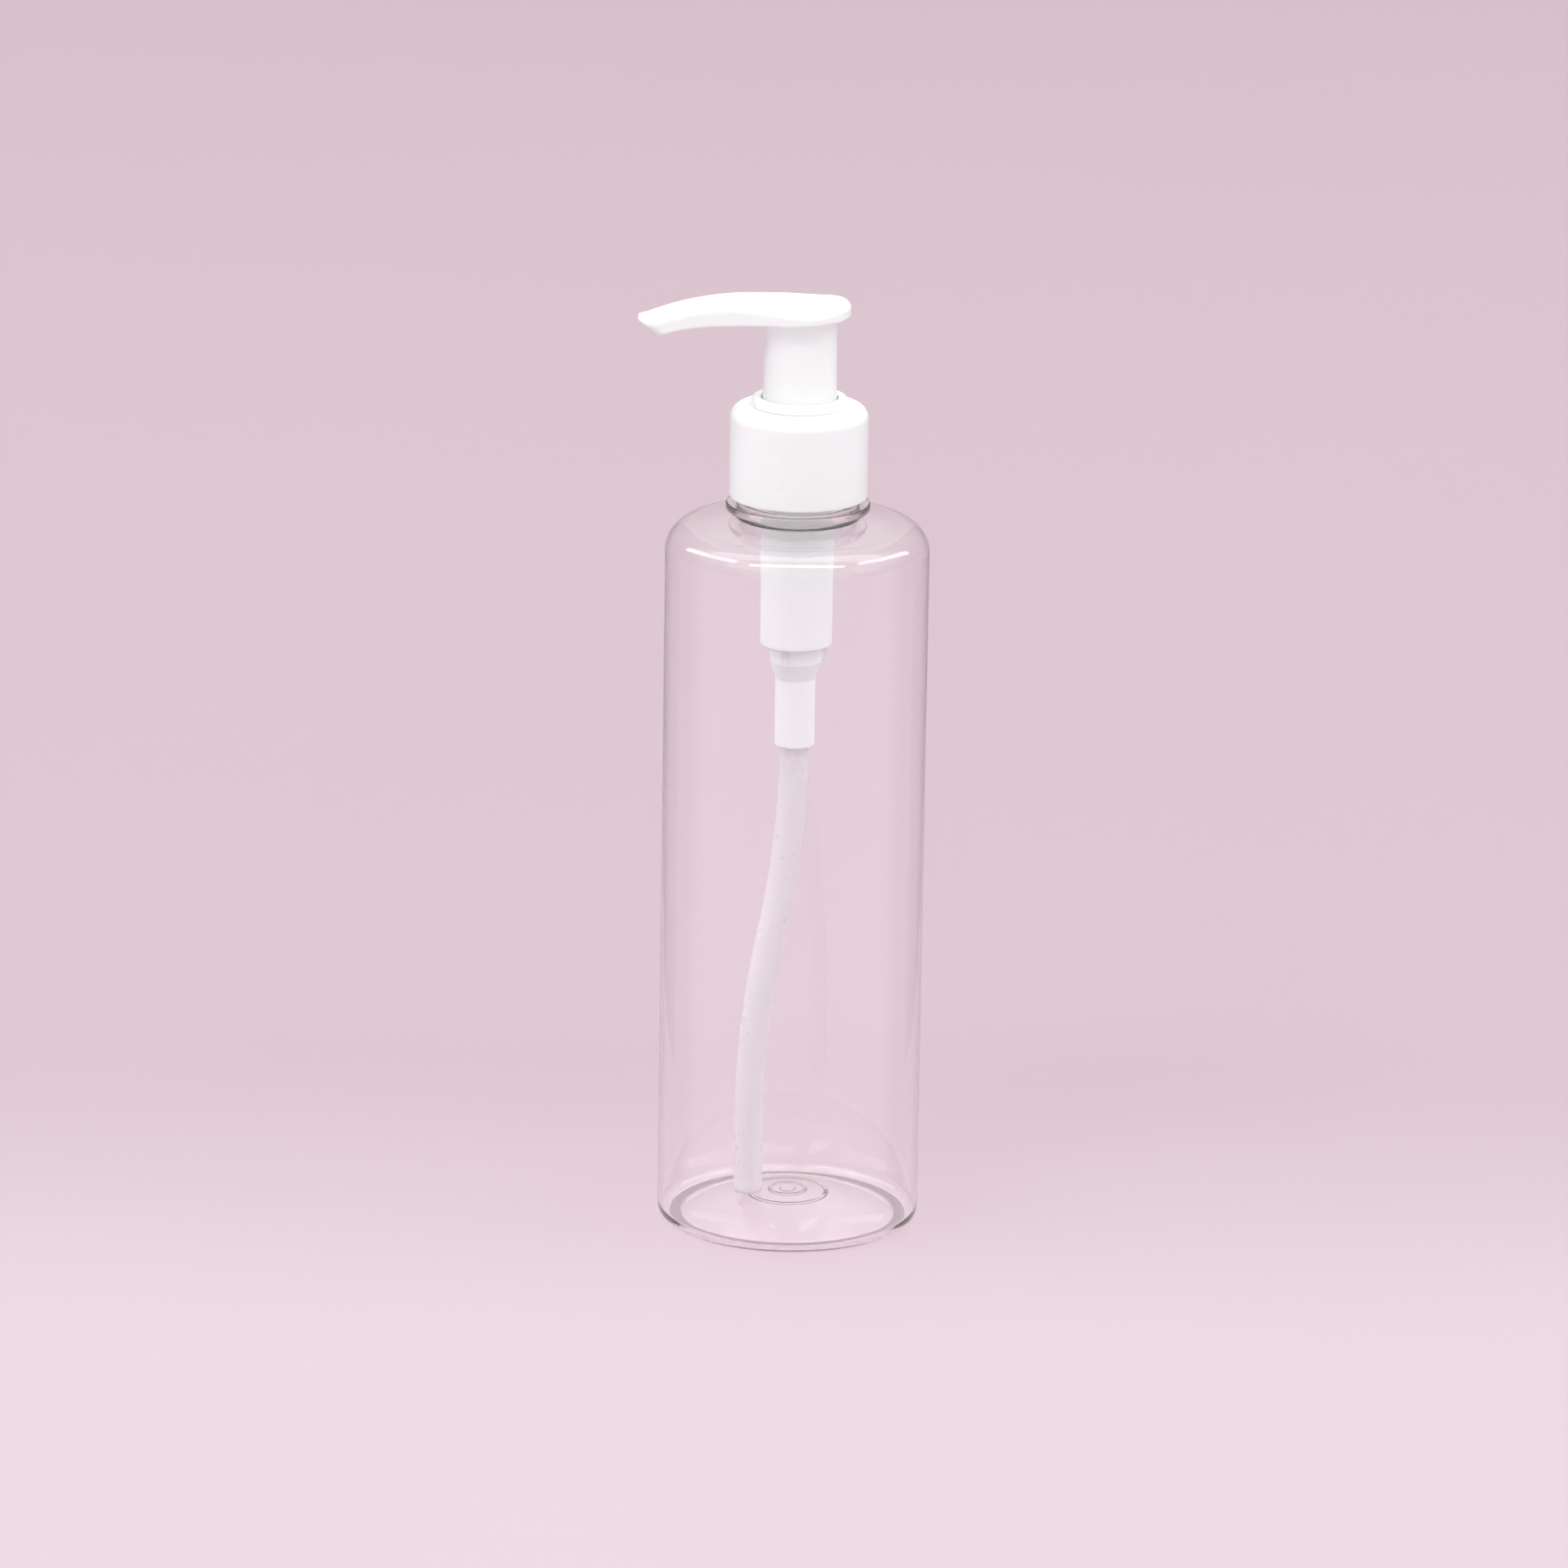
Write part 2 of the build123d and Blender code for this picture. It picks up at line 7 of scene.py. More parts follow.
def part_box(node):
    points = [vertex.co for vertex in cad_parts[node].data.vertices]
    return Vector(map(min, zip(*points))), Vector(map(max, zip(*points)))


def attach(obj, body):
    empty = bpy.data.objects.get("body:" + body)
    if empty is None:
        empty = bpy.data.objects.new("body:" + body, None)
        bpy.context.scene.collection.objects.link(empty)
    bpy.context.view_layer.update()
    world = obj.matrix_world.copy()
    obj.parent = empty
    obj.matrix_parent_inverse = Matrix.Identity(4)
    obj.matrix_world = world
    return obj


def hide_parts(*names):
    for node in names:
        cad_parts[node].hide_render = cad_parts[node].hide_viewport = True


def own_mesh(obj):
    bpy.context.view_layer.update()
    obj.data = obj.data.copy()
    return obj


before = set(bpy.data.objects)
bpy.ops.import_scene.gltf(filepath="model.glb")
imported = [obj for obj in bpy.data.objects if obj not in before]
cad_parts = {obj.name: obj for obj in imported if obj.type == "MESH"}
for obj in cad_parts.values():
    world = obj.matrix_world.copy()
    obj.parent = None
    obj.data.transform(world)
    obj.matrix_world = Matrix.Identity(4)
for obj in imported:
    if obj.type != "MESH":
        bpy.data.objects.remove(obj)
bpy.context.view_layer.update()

mm = 0.001
seatGap = 0.05  # between pieces that are pressed together


def lowCorner(node):
    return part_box(node)[0] / mm


def highCorner(node):
    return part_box(node)[1] / mm


def lineThrough(points):
    # smooth curve through (along, value) points, as a function of along
    points = sorted(points)
    slopes = []
    for i in range(len(points)):
        a = points[max(i - 1, 0)]
        b = points[min(i + 1, len(points) - 1)]
        slopes.append((b[1] - a[1]) / (b[0] - a[0]))

    def valueAt(along):
        along = min(max(along, points[0][0]), points[-1][0])
        i = 0
        while i < len(points) - 2 and along > points[i + 1][0]:
            i += 1
        span = points[i + 1][0] - points[i][0]
        t = (along - points[i][0]) / span
        return ((2 * t ** 3 - 3 * t ** 2 + 1) * points[i][1]
                + (t ** 3 - 2 * t ** 2 + t) * span * slopes[i]
                + (3 * t ** 2 - 2 * t ** 3) * points[i + 1][1]
                + (t ** 3 - t ** 2) * span * slopes[i + 1])
    return valueAt


def softPath(corners, closed=False, rounding=0.12, arcStep=11.0, guard=0.1):
    # corners are (radius, height) or (radius, height, rounding), in millimetres
    path = []
    count = len(corners)
    for i, corner in enumerate(corners):
        here = Vector(corner[:2])
        if not closed and i in (0, count - 1):
            path.append(here)
            continue
        radius = corner[2] if len(corner) > 2 else rounding
        back = Vector(corners[i - 1][:2]) - here
        ahead = Vector(corners[(i + 1) % count][:2]) - here
        half = back.angle(ahead) / 2
        if radius == 0 or half > math.radians(88):
            path.append(here)
            continue
        reach = min(radius / math.tan(half), 0.48 * back.length, 0.48 * ahead.length)
        radius = reach * math.tan(half)
        back.normalize()
        ahead.normalize()
        start = here + back * reach
        end = here + ahead * reach
        centre = here + (back + ahead).normalized() * radius / math.sin(half)
        steps = max(2, math.ceil((180 - 2 * math.degrees(half)) / arcStep))
        sweep = (start - centre).angle_signed(end - centre)
        path.append(start + back * min(guard, 0.3 * reach))
        for k in range(steps + 1):
            spoke = (start - centre).copy()
            spoke.rotate(Matrix.Rotation(-sweep * k / steps, 2))
            path.append(centre + spoke)
        path.append(end + ahead * min(guard, 0.3 * reach))
    return path


def meshObject(name, bm):
    bmesh.ops.recalc_face_normals(bm, faces=bm.faces)
    for face in bm.faces:
        face.smooth = True
    mesh = bpy.data.meshes.new(name)
    bm.to_mesh(mesh)
    bm.free()
    made = bpy.data.objects.new(name, mesh)
    bpy.context.scene.collection.objects.link(made)
    return made


def bridge(bm, low, high):
    # quads between two rings of as many points
    for k in range(len(low)):
        n = (k + 1) % len(low)
        bm.faces.new((low[k], low[n], high[n], high[k]))


def turned(name, path, closed=False, around=144, reshape=None):
    # lathe work about the bottle's axis; reshape(angle, r, z) may add to the radius
    bm = bmesh.new()
    rings = []
    for r, z in path:
        if r < 1e-6:
            rings.append([bm.verts.new((0, 0, z * mm))])
            continue
        ring = []
        for k in range(around):
            angle = 2 * math.pi * k / around
            rr = (r + (reshape(angle, r, z) if reshape else 0)) * mm
            ring.append(bm.verts.new((rr * math.cos(angle), rr * math.sin(angle), z * mm)))
        rings.append(ring)
    pairs = list(zip(rings, rings[1:]))
    if closed:
        pairs.append((rings[-1], rings[0]))
    for low, high in pairs:
        if len(low) == len(high):
            bridge(bm, low, high)
            continue
        for k in range(around):
            n = (k + 1) % around
            if len(low) == 1:
                bm.faces.new((low[0], high[k], high[n]))
            else:
                bm.faces.new((low[k], low[n], high[0]))
    return meshObject(name, bm)


def swept(name, centres, sectionAt):
    # sectionAt(i) gives the closed loop of (side, up) points round centre i
    bm = bmesh.new()
    rings = []
    side = None
    for i, centre in enumerate(centres):
        ahead = (centres[min(i + 1, len(centres) - 1)] - centres[max(i - 1, 0)]).normalized()
        if side is None:
            side = ahead.orthogonal().normalized() if abs(ahead.y) > 0.9 else Vector((0, 1, 0))
        side = (side - ahead * side.dot(ahead)).normalized()
        up = ahead.cross(side)
        rings.append([bm.verts.new((centre + side * a + up * b) * mm) for a, b in sectionAt(i)])
    for low, high in zip(rings, rings[1:]):
        bridge(bm, low, high)
    bm.faces.new(rings[0])
    bm.faces.new(list(reversed(rings[-1])))
    return meshObject(name, bm)


def circleSection(radius, count):
    return [(radius * math.cos(2 * math.pi * k / count), radius * math.sin(2 * math.pi * k / count))
            for k in range(count)]


def cutOrJoin(body, tool, operation):
    # applies a boolean and removes the tool
    change = body.modifiers.new(operation, "BOOLEAN")
    change.operation = operation
    change.solver = "EXACT"
    change.object = tool
    bpy.context.view_layer.update()
    result = bpy.data.meshes.new_from_object(
        body.evaluated_get(bpy.context.evaluated_depsgraph_get()))
    body.modifiers.clear()
    old = body.data
    body.data = result
    body.data.name = body.name
    bpy.data.meshes.remove(old)
    bpy.data.objects.remove(tool)


def threadHeight(angle, z, firstZ, startAngle, pitch, turns, crest, root, depth):
    # how far a helical ridge stands off the wall at this angle and height
    best = 0.0
    lead = ((angle - startAngle) / (2 * math.pi)) % 1.0
    while lead <= turns:
        off = abs(z - firstZ - pitch * lead)
        height = min(max((root - off) / (root - crest), 0), 1)
        fade = min(lead, turns - lead) * 18
        best = max(best, depth * height ** 2 * (3 - 2 * height) * min(max(fade, 0), 1))
        lead += 1.0
    return best


def node(tree, kind, inputs=None, **settings):
    made = tree.nodes.new(kind)
    for key, value in settings.items():
        setattr(made, key, value)
    for key, value in (inputs or {}).items():
        if isinstance(value, bpy.types.NodeSocket):
            tree.links.new(value, made.inputs[key])
        else:
            made.inputs[key].default_value = value
    return made


def newGroup(name, inputs, outputs):
    # a shader node group with plain number sockets
    group = bpy.data.node_groups.new(name, "ShaderNodeTree")
    for key, value in inputs.items():
        made = group.interface.new_socket(name=key, in_out="INPUT", socket_type="NodeSocketFloat")
        made.default_value = value
    for key in outputs:
        group.interface.new_socket(name=key, in_out="OUTPUT", socket_type="NodeSocketFloat")
    start = node(group, "NodeGroupInput")
    place = node(group, "ShaderNodeTexCoord").outputs["Object"]
    return group, start.outputs, place


def closeGroup(group, results):
    end = node(group, "NodeGroupOutput")
    for key, value in results.items():
        group.links.new(value, end.inputs[key])
    return group


def mixColours(tree, share, first, second):
    mix = node(tree, "ShaderNodeMix", data_type="RGBA")
    for key, value in (("Factor_Float", share), ("A_Color", first), ("B_Color", second)):
        target = next(s for s in mix.inputs if s.identifier == key)
        if isinstance(value, bpy.types.NodeSocket):
            tree.links.new(value, target)
        else:
            target.default_value = value
    return next(s for s in mix.outputs if s.identifier == "Result_Color")


def mapped(tree, value, span, target=(0.0, 1.0), smooth=False):
    # carries value over from span to target and holds it at both ends
    made = node(tree, "ShaderNodeMapRange", {
        "Value": value, "From Min": span[0], "From Max": span[1],
        "To Min": target[0], "To Max": target[1]},
        interpolation_type="SMOOTHSTEP" if smooth else "LINEAR")
    return made.outputs["Result"]


def reckoned(tree, operation, *values):
    made = node(tree, "ShaderNodeMath", dict(enumerate(values)), operation=operation)
    return made.outputs["Value"]


def noise(tree, place, scale, detail=2.0, roughness=0.5):
    made = node(tree, "ShaderNodeTexNoise", {
        "Vector": place, "Scale": scale, "Detail": detail, "Roughness": roughness})
    return made.outputs["Fac"]


def bumped(tree, height, strength, distance):
    made = node(tree, "ShaderNodeBump", {"Height": height, "Strength": strength, "Distance": distance})
    return made.outputs["Normal"]


skinForm = {"cloudDetail": 3.0, "cloudRoughness": 0.55, "cloudSpan": (0.3, 0.7),
            "fineScale": 6500.0, "fineDetail": 1.0, "fineShare": 0.12}


def makeMouldSkin():
    # the skin of moulded plastic: cloudy tone, uneven gloss and fine orange peel
    group, given, place = newGroup("mouldSkin", {
        "Cloud scale": 60.0, "Peel scale": 900.0, "Gloss low": 0.25, "Gloss high": 0.35},
        ("Tone", "Roughness", "Height"))
    cloud = noise(group, place, given["Cloud scale"], skinForm["cloudDetail"],
                  skinForm["cloudRoughness"])
    peel = noise(group, place, given["Peel scale"])
    fine = noise(group, place, skinForm["fineScale"], skinForm["fineDetail"])
    gloss = mapped(group, cloud, skinForm["cloudSpan"],
                   (given["Gloss low"], given["Gloss high"]))
    height = reckoned(group, "MULTIPLY_ADD", fine, skinForm["fineShare"], peel)
    return closeGroup(group, {"Tone": cloud, "Roughness": gloss, "Height": height})


marksForm = {"stretch": (1.0, 1.0, 0.35), "warpScale": 90.0, "lineScale": 34.0,
             "patchScale": 45.0, "patchSpan": (0.56, 0.7), "speckSpan": (0.05, 0.12)}


def makeHandlingMarks():
    # thin scuffs and a little dust left by handling
    group, given, place = newGroup("handlingMarks", {"Scuff length": 0.05, "Dust scale": 700.0},
                                   ("Scuffs", "Dust"))
    stretched = node(group, "ShaderNodeVectorMath", {0: place, 1: marksForm["stretch"]},
                     operation="MULTIPLY")
    warp = node(group, "ShaderNodeTexNoise", {
        "Vector": stretched.outputs["Vector"], "Scale": marksForm["warpScale"], "Detail": 2.0})
    lines = node(group, "ShaderNodeTexVoronoi", {
        "Vector": warp.outputs["Color"], "Scale": marksForm["lineScale"]}, feature="DISTANCE_TO_EDGE")
    thin = mapped(group, lines.outputs["Distance"], (0.0, given["Scuff length"]), (1.0, 0.0))
    where = mapped(group, noise(group, place, marksForm["patchScale"]), marksForm["patchSpan"])
    specks = node(group, "ShaderNodeTexVoronoi", {
        "Vector": place, "Scale": given["Dust scale"]})
    dust = mapped(group, specks.outputs["Distance"], marksForm["speckSpan"], (1.0, 0.0))
    return closeGroup(group, {"Scuffs": reckoned(group, "MULTIPLY", thin, where), "Dust": dust})


mouldSkin = makeMouldSkin()
handlingMarks = makeHandlingMarks()


def newMaterial(name):
    made = bpy.data.materials.new(name)
    made.use_nodes = True
    tree = made.node_tree
    tree.nodes.clear()
    return made, tree


def skinOf(tree, look):
    skin = node(tree, "ShaderNodeGroup", node_tree=mouldSkin)
    for key in ("Cloud scale", "Peel scale", "Gloss low", "Gloss high"):
        skin.inputs[key].default_value = look[key]
    return skin


def showMaterial(tree, shader, look):
    # part of the light goes on through a thin wall instead of leaving a shadow
    surface = shader.outputs["BSDF"]
    if "shadowThrough" in look:
        ray = node(tree, "ShaderNodeLightPath")
        through = node(tree, "ShaderNodeBsdfTransparent", {"Color": look["throughColour"]})
        share = reckoned(tree, "MULTIPLY", ray.outputs["Is Shadow Ray"], look["shadowThrough"])
        both = node(tree, "ShaderNodeMixShader", {0: share, 1: surface, 2: through.outputs["BSDF"]})
        surface = both.outputs["Shader"]
    out = node(tree, "ShaderNodeOutputMaterial")
    tree.links.new(surface, out.inputs["Surface"])


def plastic(name, look):
    # moulded plastic; look holds what a user would change
    made, tree = newMaterial(name)
    skin = skinOf(tree, look)
    marks = node(tree, "ShaderNodeGroup", node_tree=handlingMarks)
    marks.inputs["Dust scale"].default_value = look["Dust scale"]
    tint = mixColours(tree, skin.outputs["Tone"], look["colour"], look["cloudColour"])
    faint = reckoned(tree, "MULTIPLY", marks.outputs["Dust"], look["dust"])
    dusty = mixColours(tree, faint, tint, look["dustColour"])
    scuffed = reckoned(tree, "MULTIPLY_ADD", marks.outputs["Scuffs"], look["scuffGloss"],
                       skin.outputs["Roughness"])
    peel = bumped(tree, skin.outputs["Height"], look["peel"], look["peelDepth"])
    shader = node(tree, "ShaderNodeBsdfPrincipled", {
        "Base Color": dusty, "Roughness": scuffed, "Normal": peel, "IOR": look["ior"],
        "Transmission Weight": look.get("transmission", 0.0),
        "Subsurface Weight": look.get("subsurface", 0.0),
        "Subsurface Scale": look.get("subsurfaceDepth", 0.001),
        "Subsurface Radius": (1.0, 0.9, 0.92)})
    showMaterial(tree, shader, look)
    return made


whiteLook = {
    "colour": (0.92, 0.955, 0.95, 1), "cloudColour": (0.928, 0.962, 0.958, 1),
    "Cloud scale": 55.0, "Peel scale": 800.0, "Gloss low": 0.27, "Gloss high": 0.32,
    "Dust scale": 650.0, "dust": 0.04, "dustColour": (0.86, 0.85, 0.85, 1),
    "scuffGloss": 0.003, "peel": 0.1, "peelDepth": 0.0001, "ior": 1.49,
    "subsurface": 0.12, "subsurfaceDepth": 0.0012,
    "shadowThrough": 0.45, "throughColour": (0.96, 0.96, 0.96, 1),
}
milkyLook = {
    "colour": (0.87, 0.905, 0.905, 1), "cloudColour": (0.89, 0.92, 0.92, 1),
    "Cloud scale": 80.0, "Peel scale": 700.0, "Gloss low": 0.34, "Gloss high": 0.46,
    "Dust scale": 650.0, "dust": 0.06, "dustColour": (0.86, 0.86, 0.88, 1),
    "scuffGloss": 0.01, "peel": 0.12, "peelDepth": 0.0001, "ior": 1.49,
    "transmission": 0.03, "subsurface": 0.2, "subsurfaceDepth": 0.002,
    "shadowThrough": 0.7, "throughColour": (0.97, 0.97, 0.98, 1),
}
tubeLook = {
    "colour": (0.81, 0.765, 0.81, 1), "cloudColour": (0.83, 0.785, 0.83, 1),
    "Cloud scale": 120.0, "Peel scale": 500.0, "Gloss low": 0.24, "Gloss high": 0.36,
    "Dust scale": 650.0, "dust": 0.05, "dustColour": (0.9, 0.9, 0.93, 1),
    "scuffGloss": 0.008, "peel": 0.05, "peelDepth": 0.00005, "ior": 1.5,
    "transmission": 0.2, "subsurface": 0.0,
    "shadowThrough": 0.8, "throughColour": (0.97, 0.96, 0.98, 1),
}
sealLook = {
    "colour": (0.87, 0.87, 0.86, 1), "cloudColour": (0.91, 0.91, 0.90, 1),
    "Cloud scale": 90.0, "Peel scale": 1200.0, "Gloss low": 0.42, "Gloss high": 0.55,
    "Dust scale": 500.0, "dust": 0.2, "dustColour": (0.8, 0.8, 0.8, 1),
    "scuffGloss": 0.1, "peel": 0.15, "peelDepth": 0.0001, "ior": 1.5,
    "subsurface": 0.1, "subsurfaceDepth": 0.0008,
}
whiteMoulding = plastic("whiteMoulding", whiteLook)
milkyMoulding = plastic("milkyMoulding", milkyLook)
tubePlastic = plastic("tubePlastic", tubeLook)
softSeal = plastic("softSeal", sealLook)

clearLook = {
    "colour": (0.985, 0.965, 0.975, 1), "cloudColour": (0.995, 0.985, 0.99, 1), "ior": 1.57,
    "Cloud scale": 35.0, "Peel scale": 120.0, "Gloss low": 0.01, "Gloss high": 0.025,
    "scuffGloss": 0.004, "wave": 0.08, "waveDepth": 0.00005, "waveDetail": 1.0,
    "waveRoughness": 0.4, "haze": 0.03,
    # the slant colour is partly painted shade: darker bands along the body's edges
    "slantPaintedShade": (0.942, 0.905, 0.922, 1), "slantFrom": 0.3, "slantTo": 0.46,
    "slantLow": 0.005, "slantHigh": 0.143, "slantFade": 0.002,
    "shadowThrough": 1.0, "throughColour": (0.99, 0.98, 0.985, 1),
}


def clearPlastic(name, look):
    # clear blown or polished material with a slow waviness in the surface
    made, tree = newMaterial(name)
    skin = skinOf(tree, look)
    marks = node(tree, "ShaderNodeGroup", node_tree=handlingMarks)
    cloudy = mixColours(tree, skin.outputs["Tone"], look["colour"], look["cloudColour"])
    # a wall seen at a slant is a longer way through the plastic; the darker tint there, kept between
    # the base and the neck, is partly painted shade for the darker edge bands
    slant = node(tree, "ShaderNodeLayerWeight", {"Blend": 0.5})
    slantShadeShare = mapped(tree, slant.outputs["Facing"], (look["slantFrom"], look["slantTo"]), smooth=True)
    place = node(tree, "ShaderNodeTexCoord").outputs["Object"]
    height = node(tree, "ShaderNodeSeparateXYZ", {"Vector": place}).outputs["Z"]
    aboveBase = mapped(tree, height, (look["slantLow"], look["slantLow"] + look["slantFade"]))
    underNeck = mapped(tree, height, (look["slantHigh"], look["slantHigh"] - look["slantFade"]))
    body = reckoned(tree, "MULTIPLY", aboveBase, underNeck)
    tint = mixColours(tree, reckoned(tree, "MULTIPLY", body, slantShadeShare), cloudy, look["slantPaintedShade"])
    scuffed = reckoned(tree, "MULTIPLY_ADD", marks.outputs["Scuffs"], look["scuffGloss"],
                       skin.outputs["Roughness"])
    slowWave = noise(tree, place, look["Peel scale"], look["waveDetail"], look["waveRoughness"])
    wave = bumped(tree, slowWave, look["wave"], look["waveDepth"])
    shader = node(tree, "ShaderNodeBsdfPrincipled", {
        "Base Color": tint, "Roughness": scuffed, "Normal": wave, "IOR": look["ior"],
        "Transmission Weight": 1.0 - look["haze"]})
    showMaterial(tree, shader, look)
    return made


clearPet = clearPlastic("clearPet", clearLook)
ballLook = dict(clearLook, ior=1.52, haze=0.0, colour=(0.93, 0.96, 0.95, 1),
                cloudColour=(0.96, 0.98, 0.975, 1))
ballGlass = clearPlastic("ballGlass", ballLook)

springLook = {
    "steel": (0.56, 0.56, 0.57, 1), "drawnSteel": (0.7, 0.7, 0.71, 1),
    "stretch": (0.2, 0.2, 1.0), "drawScale": 2200.0, "drawDetail": 3.0, "drawSpan": (0.3, 0.7),
    "rough": 0.22, "roughDrawn": 0.38, "line": 0.3, "lineDepth": 0.00003,
}


def springWireMaterial():
    # drawn stainless wire: fine lines along the wire and a slightly dull skin
    made, tree = newMaterial("springWire")
    place = node(tree, "ShaderNodeTexCoord").outputs["Object"]
    long = node(tree, "ShaderNodeVectorMath", {0: place, 1: springLook["stretch"]},
                operation="MULTIPLY")
    lines = noise(tree, long.outputs["Vector"], springLook["drawScale"], springLook["drawDetail"])
    tint = mixColours(tree, lines, springLook["steel"], springLook["drawnSteel"])
    rough = mapped(tree, lines, springLook["drawSpan"], (springLook["rough"], springLook["roughDrawn"]))
    drawn = bumped(tree, lines, springLook["line"], springLook["lineDepth"])
    shader = node(tree, "ShaderNodeBsdfPrincipled", {
        "Base Color": tint, "Roughness": rough, "Normal": drawn, "Metallic": 1.0})
    showMaterial(tree, shader, springLook)
    return made


springWire = springWireMaterial()
print("materials ready")


def dress(piece, material):
    piece.data.materials.clear()
    piece.data.materials.append(material)


bottle = {
    "wall": 0.7, "heel": 3.2, "innerHeel": 2.6, "footInner": 20.9, "footEdge": 0.8,
    "pushUp": 4.6, "baseWall": 0.8, "baseCentreWall": 0.8,
    "gateRings": ((3.5, 0.35, 0.22), (7.6, 0.4, 0.2)), "gateNub": (1.3, 0.35),
    "shoulderRounding": 5.6, "shoulderRise": 2.3, "neckRoot": 1.2,
    "ringUnderside": 17.5, "ringThickness": 1.5, "ringRadius": 14.05,
    "neckRadius": 10.75, "neckBore": 9.5, "rootStep": 1.0,
    "threadPitch": 3.175, "threadTurns": 1.5, "threadFirst": 6.6, "threadDepth": 1.1,
    "threadCrest": 0.5, "threadRoot": 1.2,
    "threadZone": 9.4, "threadStep": 0.13, "threadRows": 69,
    "fineRadius": 9.4, "fineStep": 0.1, "coarseStep": 0.4, "coarseRings": 24,
    "heelBlend": 2.5, "neckBlend": 0.9, "neckInner": 1.6,
}


def makeBottle():
    size = highCorner("bottle")
    bodyR, rim = size.x, size.z
    ringZ = rim - bottle["ringUnderside"]
    rootZ = ringZ - bottle["neckRoot"]
    edgeZ = rootZ - bottle["shoulderRise"]
    neckR, boreR = bottle["neckRadius"], bottle["neckBore"]
    rootR = neckR + bottle["rootStep"]
    foot = bottle["footInner"]

    def ridges(r):
        lift = 0.0
        for ringR, half, height in bottle["gateRings"]:
            off = abs(r - ringR) / half
            if off < 1:
                lift = height * (1 + math.cos(math.pi * off)) / 2
        return lift

    def domeZ(r, top, edge):
        rise = top - edge
        ballR = (foot ** 2 + rise ** 2) / (2 * rise)
        return top - ballR + math.sqrt(ballR ** 2 - r ** 2)

    nubR, nubDrop = bottle["gateNub"]
    # close rings over the gate's ridges, wider ones out to the foot
    fine, coarse, rings = bottle["fineStep"], bottle["coarseStep"], bottle["coarseRings"]
    fineRings = round(bottle["fineRadius"] / fine)
    radii = [k * fine for k in range(1, fineRings + 1)]
    radii += [bottle["fineRadius"] + fine + k * coarse for k in range(rings)]
    under = [Vector((0, bottle["pushUp"] - nubDrop))]
    for r in radii:
        nub = nubDrop * min(max((nubR + 0.25 - r) / 0.25, 0), 1)
        under.append(Vector((r, domeZ(r, bottle["pushUp"], 0) - ridges(r) - nub)))
    outside = softPath([
        under[-1], (foot, 0, bottle["footEdge"]), (bodyR, 0, bottle["heel"]),
        (bodyR, edgeZ, bottle["shoulderRounding"]), (rootR, rootZ, 0.8), (rootR, ringZ, 0.25),
        (bottle["ringRadius"], ringZ, 0.4),
        (bottle["ringRadius"], ringZ + bottle["ringThickness"], 0.4),
        (neckR, ringZ + bottle["ringThickness"], 0.3), (neckR, rim - bottle["threadZone"])], arcStep=6)
    threaded = [Vector((neckR, rim - bottle["threadZone"] + 0.1 + bottle["threadStep"] * k))
                for k in range(bottle["threadRows"])]
    baseTop = bottle["pushUp"] + bottle["baseCentreWall"]
    # the inner wall runs parallel to the outer one, and thickens into the neck and the heel
    inward = []
    for i in range(1, len(outside) - 1):
        here = outside[i]
        if (here.y < bottle["heel"] + bottle["heelBlend"] or here.x < rootR + bottle["neckBlend"]
                or here.y > rootZ):
            continue
        along = (outside[i + 1] - outside[i - 1]).normalized()
        inward.append(here + Vector((-along.y, along.x)) * bottle["wall"])
    inward.sort(key=lambda point: -point.y)
    slope = bottle["shoulderRise"] / (bodyR - rootR)
    neckFootZ = inward[0].y + (inward[0].x - boreR) * slope
    inside = softPath(
        [(neckR, rim - 0.4), (neckR, rim, 0.3), (boreR, rim, 0.3),
         (boreR, neckFootZ, bottle["neckInner"]),
         tuple(inward[0])], arcStep=6)[1:] + inward[1:-1] + softPath(
        [tuple(inward[-1]), (bodyR - bottle["wall"], bottle["baseWall"], bottle["innerHeel"]),
         (foot, bottle["baseWall"], bottle["footEdge"] + 0.4),
         (foot - 0.8, domeZ(foot - 0.8, baseTop, bottle["baseWall"]))], arcStep=6)
    floorRadii = [foot - 1.2 - coarse * k for k in range(rings - 1)]
    floorRadii += [bottle["fineRadius"] - fine * k for k in range(fineRings)]
    floor = [Vector((r, domeZ(r, baseTop, bottle["baseWall"]) + 0.45 * ridges(r))) for r in floorRadii]
    floor.append(Vector((0, baseTop)))

    def ridgeAt(angle, r, z):
        if abs(r - neckR) > 1e-4 or z < rim - bottle["threadZone"] - 0.1:
            return 0.0
        return threadHeight(angle, z, rim - bottle["threadFirst"], 0.0, bottle["threadPitch"],
                            bottle["threadTurns"], bottle["threadCrest"], bottle["threadRoot"],
                            bottle["threadDepth"])

    made = turned("clearBottle", under + outside[1:] + threaded + inside + floor, around=192,
                  reshape=ridgeAt)
    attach(made, "bottle")
    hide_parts("bottle")
    dress(made, clearPet)


makeBottle()
print("bottle blown")

closure = {
    "bore": 12.05, "plate": 1.3, "plateBore": 8.36, "topEdge": 2.4, "crown": 0.12, "lowEdge": 0.4,
    "threadFirst": -3.175, "threadDepth": 0.9, "threadCrest": 0.35, "threadRoot": 0.95,
    "wallStep": 0.16, "wallRows": 95,
}


